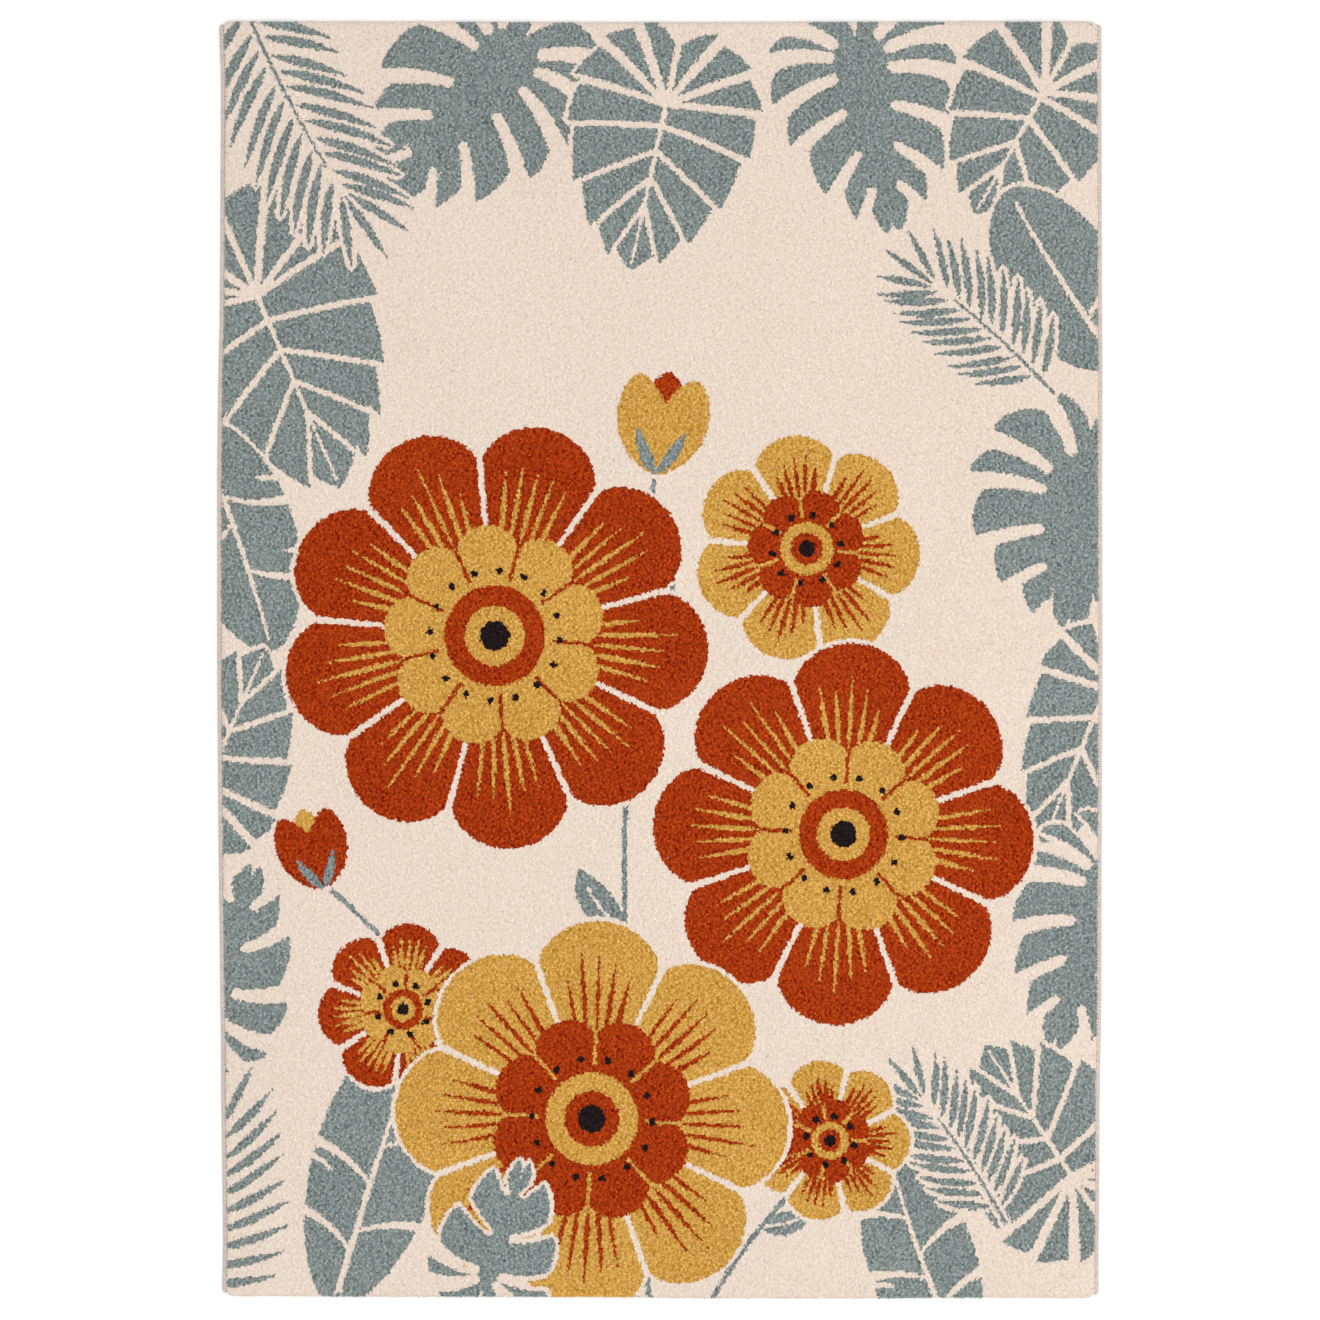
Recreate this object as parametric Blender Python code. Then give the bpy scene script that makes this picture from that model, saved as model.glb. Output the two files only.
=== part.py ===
"""A rectangular pile rug for a child's room, lying flat, with overcast long sides.

Units are metres and +Z is up. The origin lies on the floor under the middle of the rug. +Y points
along the rug to the end that is the top of its pattern, and +X to the right-hand side.
"""
import math

import bmesh
import bpy

# Driving dimensions
HALF_WIDTH = 0.5555          # over the overcast sides, where the rug is widest
HALF_LENGTH = 0.8000         # where the rug is longest
THICKNESS = 0.0125           # backing and pile together
SHOULDER = 0.0038            # rounding of the pile towards its edges
CORNER_RADIUS = 0.0090       # the pile's corners, seen from above
SEAM_GAP = 0.0003            # clearance between neighbouring pieces

OVERCAST_WIDTH = 0.0056      # the roll of yarn sewn round each long side
OVERCAST_HEIGHT = 0.0064
OVERCAST_OUTER_RADIUS = 0.0026
OVERCAST_FOOT_RADIUS = 0.0014
OVERCAST_INNER_RADIUS = 0.0006
LINES_LEFT_BARE = 3          # grid lines without yarn, where the wall turns into a short end

SELVEDGE_THICKNESS = 0.0020  # the bare strip of backing that the yarn is wrapped round
SELVEDGE_DEPTH = 0.0033
SELVEDGE_HEIGHT = 0.0022     # underside of the strip above the floor

GRID_STEP = 0.060            # spacing of the pile body's grid lines away from its edges
SHOULDER_STEPS = 4
ARC_STEPS = 4                # facets in each rounded corner of the yarn roll's section

# How far each long side draws in from the widest line, read along the rug.
SIDE_DRAW_IN = (
    # station y,  left,    right
    (-0.7900, 0.0063, 0.0050),
    (-0.7150, 0.0075, 0.0050),
    (-0.6400, 0.0063, 0.0038),
    (-0.5640, 0.0050, 0.0038),
    (-0.4890, 0.0050, 0.0025),
    (-0.4130, 0.0038, 0.0013),
    (-0.3000, 0.0025, 0.0013),
    (-0.1880, 0.0013, 0.0008),
    (0.0000, 0.0000, 0.0000),
    (0.2630, 0.0000, 0.0004),
    (0.3380, 0.0013, 0.0000),
    (0.4500, 0.0034, 0.0006),
    (0.6000, 0.0042, 0.0010),
    (0.7150, 0.0050, 0.0015),
    (0.7900, 0.0025, 0.0013),
)

# How far each short end draws in from the longest line, read across the rug.
END_DRAW_IN = (
    # station x, bottom, top
    (-0.5500, 0.0032, 0.0000),
    (-0.3000, 0.0022, 0.0004),
    (-0.0700, 0.0018, 0.0012),
    (0.0500, 0.0004, 0.0012),
    (0.2500, 0.0000, 0.0006),
    (0.4000, 0.0010, 0.0000),
    (0.5500, 0.0006, 0.0006),
)

PILE_COLOUR = (0.855, 0.730, 0.617, 1.0)
OVERCAST_COLOUR = (0.610, 0.500, 0.460, 1.0)


def clear_scene():
    """Removes whatever the open file holds."""
    for obj in list(bpy.data.objects):
        bpy.data.objects.remove(obj, do_unlink=True)


def new_collection(name):
    """Adds a collection to the scene."""
    collection = bpy.data.collections.new(name)
    bpy.context.scene.collection.children.link(collection)
    return collection


def fibre(name, colour):
    """A matt yarn finish."""
    material = bpy.data.materials.new(name)
    material.use_nodes = True
    shader = material.node_tree.nodes["Principled BSDF"]
    shader.inputs["Base Color"].default_value = colour
    shader.inputs["Roughness"].default_value = 0.95
    shader.inputs["Metallic"].default_value = 0.0
    return material


def eased(rows, station, column):
    """Reads one column of a table of stations, eased so that the edge has no kinks."""
    station = min(max(station, rows[0][0]), rows[-1][0])
    for before, after in zip(rows, rows[1:]):
        if station <= after[0]:
            share = (station - before[0]) / (after[0] - before[0])
            share = share * share * (3.0 - 2.0 * share)
            return before[column] + share * (after[column] - before[column])
    return rows[-1][column]


def grid_lines(half):
    """Grid lines of the plain rectangle across one direction, closer together at both edges."""
    steps = [math.pi / 2 * k / SHOULDER_STEPS for k in range(SHOULDER_STEPS)]
    rim = [half - SHOULDER * (1.0 - math.cos(angle)) for angle in steps]
    rim += [half - SHOULDER, half - (SHOULDER + CORNER_RADIUS) / 2, half - CORNER_RADIUS]
    inner = half - CORNER_RADIUS
    count = round(2 * inner / GRID_STEP)
    middle = [-inner + 2 * inner * k / count for k in range(1, count)]
    return [-line for line in rim] + middle + rim[::-1]


def rounded_corner(x, y, half_x, half_y):
    """Moves a point of the plain rectangle so that the rectangle gets round corners."""
    a = (abs(x) - half_x + CORNER_RADIUS) / CORNER_RADIUS
    b = (abs(y) - half_y + CORNER_RADIUS) / CORNER_RADIUS
    if a <= 0.0 or b <= 0.0:
        return x, y
    new_x = half_x - CORNER_RADIUS + CORNER_RADIUS * a * math.sqrt(1.0 - b * b / 2)
    new_y = half_y - CORNER_RADIUS + CORNER_RADIUS * b * math.sqrt(1.0 - a * a / 2)
    return math.copysign(new_x, x), math.copysign(new_y, y)


def plan_point(x, y):
    """Where a point of the plain rectangle lies on the real, slightly uneven pile body."""
    half_x = HALF_WIDTH - OVERCAST_WIDTH - SEAM_GAP
    half_y = HALF_LENGTH
    x, y = rounded_corner(x, y, half_x, half_y)
    side = eased(SIDE_DRAW_IN, y, 1 if x < 0 else 2)
    end = eased(END_DRAW_IN, x, 1 if y < 0 else 2)
    return x * (1.0 - side / half_x), y * (1.0 - end / half_y)


def shoulder_height(distance):
    """Height of the pile at a distance in from its wall."""
    if distance >= SHOULDER:
        return THICKNESS
    inward = SHOULDER - distance
    return THICKNESS - SHOULDER + math.sqrt(SHOULDER**2 - inward**2)


def pile_grid_lines():
    """Grid lines of the pile body across and along the rug."""
    return grid_lines(HALF_WIDTH - OVERCAST_WIDTH - SEAM_GAP), grid_lines(HALF_LENGTH)


def rug_mesh():
    """The pile body: flat below, round-shouldered above, with a bare strip along each long side."""
    columns, rows = pile_grid_lines()
    bm = bmesh.new()
    bmesh.ops.create_grid(bm, x_segments=len(columns) - 1, y_segments=len(rows) - 1, size=1.0)
    top_faces = bm.faces[:]
    for vert in bm.verts:
        i = round((vert.co.x + 1.0) / 2.0 * (len(columns) - 1))
        j = round((vert.co.y + 1.0) / 2.0 * (len(rows) - 1))
        x, y = columns[i], rows[j]
        distance = min(columns[-1] - abs(x), rows[-1] - abs(y))
        vert.co = (*plan_point(x, y), shoulder_height(distance))
    extruded = bmesh.ops.extrude_face_region(bm, geom=top_faces)
    for item in extruded["geom"]:
        if isinstance(item, bmesh.types.BMVert):
            item.co.z = 0.0
    for height in (SELVEDGE_HEIGHT, SELVEDGE_HEIGHT + SELVEDGE_THICKNESS):
        bmesh.ops.bisect_plane(
            bm, geom=bm.verts[:] + bm.edges[:] + bm.faces[:],
            plane_co=(0.0, 0.0, height), plane_no=(0.0, 0.0, 1.0), dist=1e-6,
        )
    bmesh.ops.recalc_face_normals(bm, faces=bm.faces)
    for side in (-1, 1):
        draw_out_selvedge(bm, side)
    bmesh.ops.recalc_face_normals(bm, faces=bm.faces)
    mesh = bpy.data.meshes.new("rug")
    bm.to_mesh(mesh)
    bm.free()
    return mesh


def draw_out_selvedge(bm, side):
    """Draws the bare strip of backing out of the wall on one long side, as far as the yarn goes."""
    columns, rows = pile_grid_lines()
    reach = plan_point(columns[-1], rows[-LINES_LEFT_BARE - 1])[1]
    middle = SELVEDGE_HEIGHT + SELVEDGE_THICKNESS / 2
    bm.normal_update()
    strip = []
    for face in bm.faces:
        centre = face.calc_center_median()
        level = abs(centre.z - middle) < SELVEDGE_THICKNESS / 2
        if level and face.normal.x * side > 0.5 and abs(centre.y) < reach:
            strip.append(face)
    drawn = bmesh.ops.extrude_face_region(bm, geom=strip)
    verts = [item for item in drawn["geom"] if isinstance(item, bmesh.types.BMVert)]
    bmesh.ops.translate(bm, verts=verts, vec=(side * SELVEDGE_DEPTH, 0.0, 0.0))
    bmesh.ops.delete(bm, geom=strip, context="FACES_ONLY")


def make_rug(collection):
    """The cloth itself, pile and backing in one."""
    rug = bpy.data.objects.new("rug", rug_mesh())
    rug.data.materials.append(fibre("ivory_pile", PILE_COLOUR))
    rug.data.shade_smooth()
    rug.data.set_sharp_from_angle(angle=math.radians(40))
    collection.objects.link(rug)


def arc(centre, radius, start, end):
    """Points round part of a circle, from one angle to another, in degrees."""
    angles = [start + (end - start) * k / ARC_STEPS for k in range(ARC_STEPS + 1)]
    return [
        (
            centre[0] + radius * math.cos(math.radians(angle)),
            centre[1] + radius * math.sin(math.radians(angle)),
        )
        for angle in angles
    ]


def overcast_section():
    """Section of the yarn roll, with x out from the pile's wall and y up from the floor."""
    inner = SEAM_GAP
    outer = SEAM_GAP + OVERCAST_WIDTH
    top = OVERCAST_HEIGHT
    slot_low = SELVEDGE_HEIGHT - SEAM_GAP
    slot_high = SELVEDGE_HEIGHT + SELVEDGE_THICKNESS + SEAM_GAP
    slot_end = SELVEDGE_DEPTH + SEAM_GAP
    foot = OVERCAST_FOOT_RADIUS
    crown = OVERCAST_OUTER_RADIUS
    lip = OVERCAST_INNER_RADIUS
    points = [(slot_end, slot_high), (slot_end, slot_low), (inner, slot_low)]
    points += arc((inner + lip, lip), lip, 180, 270)
    points += arc((outer - foot, foot), foot, 270, 360)
    points += arc((outer - crown, top - crown), crown, 0, 90)
    points += arc((inner + lip, top - lip), lip, 90, 180)
    points += [(inner, slot_high)]
    return points[::-1]


def poly_spline(curve, points, cyclic):
    """Adds a straight-sided spline through the points to a curve."""
    spline = curve.splines.new("POLY")
    spline.points.add(len(points) - 1)
    for target, (x, y) in zip(spline.points, points):
        target.co = (x, y, 0.0, 1.0)
    spline.use_cyclic_u = cyclic


def section_guide(name, points, collection):
    """A closed section that a yarn roll is swept from."""
    curve = bpy.data.curves.new(name, "CURVE")
    curve.dimensions = "2D"
    curve.fill_mode = "NONE"
    poly_spline(curve, points, cyclic=True)
    guide = bpy.data.objects.new(name, curve)
    guide.hide_render = True
    guide.display_type = "WIRE"
    collection.objects.link(guide)
    return guide


def make_overcast(name, side, collection, guides):
    """The yarn sewn round one long side: its section swept along the pile's wall."""
    columns, rows = pile_grid_lines()
    wall = columns[-1] if side > 0 else columns[0]
    # The sweep turns the section's x to the right of its path, so each side runs its own way.
    path = [plan_point(wall, y) for y in rows[LINES_LEFT_BARE:-LINES_LEFT_BARE]]
    if side < 0:
        path.reverse()
    points = overcast_section()
    curve = bpy.data.curves.new(name, "CURVE")
    curve.dimensions = "2D"
    curve.bevel_mode = "OBJECT"
    curve.bevel_object = section_guide(name + "_section", points, guides)
    curve.use_fill_caps = True
    poly_spline(curve, path, cyclic=False)
    roll = bpy.data.objects.new(name, curve)
    curve.materials.append(fibre("overcast_yarn", OVERCAST_COLOUR))
    collection.objects.link(roll)


def main():
    """Builds the rug and the overcasting of its two long sides."""
    clear_scene()
    parts = new_collection("kids_rug")
    guides = new_collection("guides")
    make_rug(parts)
    make_overcast("edge_overcast_left", -1, parts, guides)
    make_overcast("edge_overcast_right", 1, parts, guides)


main()
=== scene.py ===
"""The looks of a child's pile rug with leaves and blossoms woven into it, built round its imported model.

Units are metres and +Z is up. The pile is made of real tufts, one for each knot of the weave, and the
pattern is worked knot by knot, so that its edges step and fray as woven ones do.
"""
import logging
import math
from abc import ABC, abstractmethod
from dataclasses import dataclass, field
from enum import Enum, IntEnum

import bmesh
import bpy
import numpy as np
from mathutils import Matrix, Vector


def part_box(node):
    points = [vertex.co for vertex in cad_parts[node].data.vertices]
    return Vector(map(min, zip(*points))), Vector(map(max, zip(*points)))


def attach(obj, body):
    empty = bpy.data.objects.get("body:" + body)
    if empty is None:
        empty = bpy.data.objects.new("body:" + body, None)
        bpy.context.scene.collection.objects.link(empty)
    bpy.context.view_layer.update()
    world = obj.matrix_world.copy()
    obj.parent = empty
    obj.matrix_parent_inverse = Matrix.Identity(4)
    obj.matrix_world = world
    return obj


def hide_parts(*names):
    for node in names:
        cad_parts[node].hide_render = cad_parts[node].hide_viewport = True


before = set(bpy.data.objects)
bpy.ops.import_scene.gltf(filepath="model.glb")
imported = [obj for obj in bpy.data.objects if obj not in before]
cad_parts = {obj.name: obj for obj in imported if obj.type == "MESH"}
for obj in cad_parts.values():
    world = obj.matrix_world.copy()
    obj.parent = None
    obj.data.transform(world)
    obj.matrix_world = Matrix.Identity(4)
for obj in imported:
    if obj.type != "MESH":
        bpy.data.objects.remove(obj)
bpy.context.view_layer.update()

LOG = logging.getLogger("rug")
MM = 0.001
MAP_NAME = "OFBake"          # the flat map that the finishes are laid out on
MAP_MARGIN = 30 * MM         # room round the flat pile for what is unfolded from its edge
DRAWING_FINENESS = 2         # points of the drawn pattern for each knot, both ways


# ---------------------------------------------------------------------------------------------------
# Shapes and outlines in the plane


def bent_path(start: np.ndarray, heading: float, length: float, bend: float, steps: int = 14) -> np.ndarray:
    """Points along an arc.

    Args:
        start: Where the arc begins.
        heading: Its direction there, in degrees.
        length: Its length in metres.
        bend: How far it turns on its way, in degrees.
        steps: How many straight steps it has.

    Returns:
        Its points, one row each.
    """
    turns = np.radians(heading + bend * (np.arange(steps) + 0.5) / steps)
    moves = length / steps * np.stack([np.cos(turns), np.sin(turns)], axis=1)
    return np.vstack([start, np.asarray(start) + np.cumsum(moves, axis=0)])


def ray(degrees: float) -> np.ndarray:
    """The unit vector in a direction."""
    return np.array([math.cos(math.radians(degrees)), math.sin(math.radians(degrees))])


def bearing(points: np.ndarray) -> np.ndarray:
    """The direction of each point from the origin, in degrees."""
    return np.degrees(np.arctan2(points[:, 1], points[:, 0]))


@dataclass(frozen=True)
class Stroke:
    """A path with a half-width at each of its points."""

    path: np.ndarray
    half_width: np.ndarray

    def covers(self, points: np.ndarray) -> np.ndarray:
        """Tells which points lie in the stroke.

        Args:
            points: The points to test, one row each.

        Returns:
            Whether each lies in it.
        """
        low = (self.path - self.half_width[:, None]).min(axis=0)
        high = (self.path + self.half_width[:, None]).max(axis=0)
        near = np.flatnonzero(((points >= low) & (points <= high)).all(axis=1))
        spots = points[near]
        hit = np.zeros(len(near), bool)
        for a, b, wide, wide_next in zip(
            self.path, self.path[1:], self.half_width, self.half_width[1:]
        ):
            run = b - a
            share = ((spots - a) @ run / max(float(run @ run), 1e-12)).clip(0, 1)
            away = np.linalg.norm(spots - a - share[:, None] * run, axis=1)
            hit |= away < wide + share * (wide_next - wide)
        covered = np.zeros(len(points), bool)
        covered[near] = hit
        return covered


def lance(path: np.ndarray, half_width: float, fullest: float = 0.45) -> Stroke:
    """A stroke that is pointed at both ends and widest at a share of its length."""
    share = np.linspace(0.0, 1.0, len(path)) ** (math.log(0.5) / math.log(fullest))
    return Stroke(path, half_width * np.sin(math.pi * share) ** 0.85)


# ---------------------------------------------------------------------------------------------------
# The woven pattern


class Yarn(IntEnum):
    """The pile's five yarns."""

    IVORY = 0
    SAGE = 1
    RUST = 2
    MUSTARD = 3
    BLACK = 4


LEFT, RIGHT = 1, -1
AS_BEFORE = -1


@dataclass
class Motif(ABC):
    """A shape of the pattern. Its own coordinates run along and across the line from base to tip."""

    base: tuple[float, float]
    tip: tuple[float, float]
    halo: int = 2

    @property
    def length(self) -> float:
        """From base to tip."""
        return math.dist(self.base, self.tip)

    def own(self, points: np.ndarray) -> np.ndarray:
        """Turns places on the rug into the motif's own coordinates.

        Args:
            points: Places on the rug, one row each.

        Returns:
            The same places along and across the motif.
        """
        along = (np.array(self.tip) - self.base) / self.length
        moved = points - np.array(self.base)
        return np.stack([moved @ along, moved @ np.array([-along[1], along[0]])], axis=1)

    def chance(self, count: int) -> np.ndarray:
        """Numbers between -1 and 1 that depend on nothing but the motif's place."""
        seed = round(1000 * abs(7 * self.base[0] + 13 * self.base[1] + 3 * self.tip[0]) + 100 * self.length)
        return np.random.default_rng(seed).uniform(-1.0, 1.0, count)

    @abstractmethod
    def draw(self, own: np.ndarray) -> np.ndarray:
        """Draws the motif.

        Args:
            own: The knots' places in the motif's own coordinates.

        Returns:
            Each knot's yarn, or AS_BEFORE where the motif leaves what is there.
        """


@dataclass
class PalmFrond(Motif):
    """A thin rib with slender leaflets on both sides, which stand a little off it, and a fan at its tip.

    The leaflets go from the bare to the full share of the rib. Their opening is their angle off the
    rib, in degrees, at the base and near the tip, and each is tilted and stretched a little by chance.
    The fan gives each of its leaflets an angle and a share of a leaflet's length.
    """

    leaflet: float = 0.098
    leaflet_bend: float = 12.0
    spacing: float = 0.0175
    bend: float = 10.0
    half_width: float = 0.0056
    rib_half_widths: tuple[float, float] = (0.0024, 0.0015)
    opening: tuple[float, float] = (60.0, 44.0)
    tilt: float = 1.6
    stretch: float = 0.05
    gap: float = 0.0070
    bare: float = 0.02
    full: float = 0.925
    fan: tuple[tuple[float, float], ...] = ((-24.0, 0.84), (2.0, 0.88), (26.0, 0.84))
    fan_gap: float = 0.011
    fan_width: float = 0.92

    def leaflet_length(self, share: float) -> float:
        """A leaflet's length at its share of the row: fullest near the middle, shorter at both ends."""
        return self.leaflet * (0.74 + 0.30 * math.sin(math.pi * (0.16 + 0.66 * share)))

    def draw(self, own: np.ndarray) -> np.ndarray:
        """Draws the leaflets, the fan at the tip and the rib between them.

        Args:
            own: The knots' places in the motif's own coordinates.

        Returns:
            Each knot's yarn, or AS_BEFORE where the motif leaves what is there.
        """
        steps = 60
        rib = bent_path((0.0, 0.0), -self.bend / 2, self.length, self.bend, steps)
        ahead = bearing(np.diff(rib, axis=0))
        pairs = round(self.full * self.length / self.spacing)
        jitter = self.chance(4 * pairs).reshape(pairs, 4)
        covered = np.zeros(len(own), bool)
        for k in range(pairs):
            share = k / (pairs - 1)
            pair = ((LEFT, 0.5, *jitter[k, :2]), (RIGHT, 0.0, *jitter[k, 2:]))
            for side, shift, tilt, stretch in pair:
                at = self.bare + (self.full - self.bare) * (share + shift / pairs)
                index = min(round(at * steps), steps - 1)
                off = self.opening[0] + (self.opening[1] - self.opening[0]) * share + self.tilt * tilt
                away = ahead[index] + side * off
                size = self.leaflet_length(share) * (1.0 + self.stretch * stretch)
                foot = rib[index] + self.gap * ray(away)
                path = bent_path(foot, away, size, -side * self.leaflet_bend)
                covered |= lance(path, self.half_width, fullest=0.42).covers(own)
        for spread, size in self.fan:
            foot = rib[-1] + self.fan_gap * ray(ahead[-1] + spread)
            path = bent_path(foot, ahead[-1] + spread, size * self.leaflet, 0.0)
            covered |= lance(path, self.fan_width * self.half_width).covers(own)
        bare_rib = rib[:-8]
        covered |= Stroke(bare_rib, np.linspace(*self.rib_half_widths, len(bare_rib))).covers(own)
        return np.where(covered, Yarn.SAGE, AS_BEFORE)


@dataclass
class CutLeaf(Motif):
    """A broad leaf parted by cuts; the front corner of each part stands out at the margin.

    Its outline is a superellipse in front of the hub. Behind it, it draws in to the lobe's share of
    the breadth, and then to the sinus's share at the stalk. The rear cuts belong to the hub, and the
    others to the midrib. Their sweep is their angle off the midrib, in degrees, at the rear and at
    the front, and each strays from it a little by chance.
    """

    BACK_FULL = 62.0
    NOTCH_FROM = 152.0
    HUB_SHARE = 0.34        # of a side's cuts
    RIB_SHARE = 0.64        # of the midrib, as far as its cuts go

    breadth: float = 0.12
    cuts: int = 6
    lobe: float = 0.78
    sinus: float = 0.45
    saw: float = 0.09
    sweep: tuple[float, float] = (152.0, 26.0)
    stray: float = 4.0
    bend: float = 16.0
    slimness: float = 1.7
    rounding: float = 0.0

    def margin(self, angle: np.ndarray) -> np.ndarray:
        """Distance from the leaf's hub to its smooth outline.

        Args:
            angle: Degrees off the midrib, from 0 at the tip to 180 at the stalk.

        Returns:
            The distance in each direction.
        """
        turn = np.radians(np.minimum(angle, 90.0))
        p = self.slimness
        front = ((np.cos(turn) / self.length) ** p + (np.sin(turn) / self.breadth) ** p) ** (-1 / p)
        past = np.clip((angle - 90.0) / self.BACK_FULL, 0.0, 1.0)
        back = self.breadth * (1.0 - (1.0 - self.lobe) * past**1.4)
        notch = np.clip((angle - self.NOTCH_FROM) / (180.0 - self.NOTCH_FROM), 0.0, 1.0)
        back = back * (1.0 - (1.0 - self.sinus) * notch**1.6)
        return np.where(angle <= 90.0, front, back)

    @abstractmethod
    def cut(self, foot: np.ndarray, away: float, side: int, share: float) -> Stroke:
        """One cut.

        Args:
            foot: The point of the midrib that it belongs to.
            away: Its direction, in degrees off the midrib.
            side: LEFT or RIGHT.
            share: Its place from the rear one to the front one.

        Returns:
            What is cut out of the blade.
        """

    def side_cuts(self, side: int) -> tuple[list[Stroke], np.ndarray]:
        """The cuts of one side.

        Args:
            side: LEFT or RIGHT.

        Returns:
            The cuts from rear to front, and the angles at which they leave the leaf.
        """
        jitter = self.chance(2 * self.cuts)[:: side][: self.cuts]
        strokes, exits = [], []
        for k in range(self.cuts):
            share = k / (self.cuts - 1)
            past_hub = max(0.0, (share - self.HUB_SHARE) / (1.0 - self.HUB_SHARE))
            foot = np.array([self.RIB_SHARE * self.length * past_hub**1.1, 0.0])
            away = self.sweep[0] + (self.sweep[1] - self.sweep[0]) * share**0.8 + self.stray * jitter[k]
            stroke = self.cut(foot, away, side, share)
            angle = np.abs(bearing(stroke.path))
            beyond = np.hypot(*stroke.path.T) > (1 - self.rounding) * self.margin(angle)
            strokes.append(stroke)
            exits.append(float(angle[int(beyond.argmax())] if beyond.any() else angle[-1]))
        return strokes, np.array(exits)

    def blade(self, own: np.ndarray) -> tuple[np.ndarray, np.ndarray]:
        """The leaf's blade and its cuts.

        Args:
            own: The knots' places in the motif's own coordinates.

        Returns:
            Which points lie in the blade, and which in one of its cuts.
        """
        radius = np.hypot(own[:, 0], own[:, 1])
        angle = np.abs(bearing(own))
        covered = np.zeros(len(own), bool)
        parted = np.zeros(len(own), bool)
        for side in (LEFT, RIGHT):
            strokes, exits = self.side_cuts(side)
            ends = np.concatenate([[180.0], exits, [0.0]])
            part = np.clip((ends[:, None] > angle[None, :]).sum(axis=0) - 1, 0, len(ends) - 2)
            share = (ends[part] - angle) / np.maximum(ends[part] - ends[part + 1], 1.0)
            share = share.clip(0, 1)
            crown = 1.0 - self.rounding * np.abs(2 * share - 1) ** 3
            edge = self.margin(angle) * (1.0 - self.saw / 2 + self.saw * share) * crown
            covered |= (radius < edge) & (own[:, 1] * side >= 0)
            for stroke in strokes:
                parted |= stroke.covers(own)
        return covered, parted


@dataclass
class SplitLeaf(CutLeaf):
    """A leaf with deep round-ended slits between its fingers.

    The depth is how much of the breadth the rear slits take, and the slit is their half-width. The
    front ones begin nearer to the midrib and are straighter and narrower, each by a share. A slit's
    flare is its width at its root and what it gains, as shares of the slit.
    """

    depth: float = 0.72
    slit: float = 0.0098
    reach: float = 1.25
    flare: tuple[float, float] = (0.76, 1.10)
    front_nearer: float = 0.30
    front_straighter: float = 0.6
    front_narrower: float = 0.22
    bend: float = 62.0
    saw: float = 0.22
    rounding: float = 0.13
    sweep: tuple[float, float] = (136.0, 34.0)

    def cut(self, foot: np.ndarray, away: float, side: int, share: float) -> Stroke:
        """A slit that starts round, opens towards the margin, and curves towards the tip.

        Args:
            foot: The point of the midrib that it belongs to.
            away: Its direction, in degrees off the midrib.
            side: LEFT or RIGHT.
            share: Its place from the rear one to the front one.

        Returns:
            The slit.
        """
        inner = self.breadth * (1.0 - self.depth) * (1.0 - self.front_nearer * share) + self.slit
        start = foot + inner * ray(side * away)
        bend = -side * self.bend * (1.0 - self.front_straighter * share)
        path = bent_path(start, side * away, self.reach * self.breadth, bend)
        flare = self.flare[0] + self.flare[1] * np.linspace(0.0, 1.0, len(path))
        return Stroke(path, self.slit * (1.0 - self.front_narrower * share) * flare)

    def draw(self, own: np.ndarray) -> np.ndarray:
        """Draws the blade without its slits.

        Args:
            own: The knots' places in the motif's own coordinates.

        Returns:
            Each knot's yarn, or AS_BEFORE where the motif leaves what is there.
        """
        covered, parted = self.blade(own)
        return np.where(covered & ~parted, Yarn.SAGE, AS_BEFORE)


@dataclass
class VeinedLeaf(CutLeaf):
    """A leaf whose pale veins run from the hub and the rib to the margin, the rear ones as wedges.

    The vein is the front veins' half-width, and the wedge is what the rearmost one gains outwards.
    The rib, the hub and the veins' forks are measured in veins.
    """

    FORKED = slice(2, 5, 2)

    vein: float = 0.0027
    wedge: float = 0.012
    taper: tuple[float, float] = (1.25, 0.72)
    rear_wider: float = 0.35
    reach: float = 1.7
    rib: tuple[float, float] = (1.7, 0.6)
    hub: float = 2.1
    fork: float = 0.62
    fork_turn: float = 17.0
    cuts: int = 7
    lobe: float = 0.90
    sinus: float = 0.70

    def cut(self, foot: np.ndarray, away: float, side: int, share: float) -> Stroke:
        """A vein that thins towards the margin in front, and opens towards it in the rear.

        Args:
            foot: The point of the midrib that it leaves.
            away: Its direction, in degrees off the midrib.
            side: LEFT or RIGHT.
            share: Its place from the rear one to the front one.

        Returns:
            The vein.
        """
        path = bent_path(foot, side * away, self.reach * self.length, -side * self.bend, steps=22)
        width = self.vein * (1.0 + self.rear_wider * (1.0 - share))
        outer = self.taper[1] * width + self.wedge * (1.0 - share) ** 2
        return Stroke(path, np.linspace(self.taper[0] * width, outer, len(path)))

    def draw(self, own: np.ndarray) -> np.ndarray:
        """Draws the blade, less its veins, their forks, the rib and the hub.

        Args:
            own: The knots' places in the motif's own coordinates.

        Returns:
            Each knot's yarn, or AS_BEFORE where the motif leaves what is there.
        """
        covered, parted = self.blade(own)
        for side in (LEFT, RIGHT):
            for stroke in self.side_cuts(side)[0][self.FORKED]:
                foot, beyond = stroke.path[6:8]
                heading = float(bearing((beyond - foot)[None])[0]) - side * self.fork_turn
                branch = bent_path(foot, heading, self.length, 0.0, steps=6)
                parted |= Stroke(branch, np.full(len(branch), self.fork * self.vein)).covers(own)
        rib = np.array([[-self.breadth, 0.0], [self.length, 0.0]])
        parted |= Stroke(rib, self.vein * np.array(self.rib)).covers(own)
        parted |= np.hypot(own[:, 0], own[:, 1]) < self.hub * self.vein
        return np.where(covered & ~parted, Yarn.SAGE, AS_BEFORE)


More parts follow.
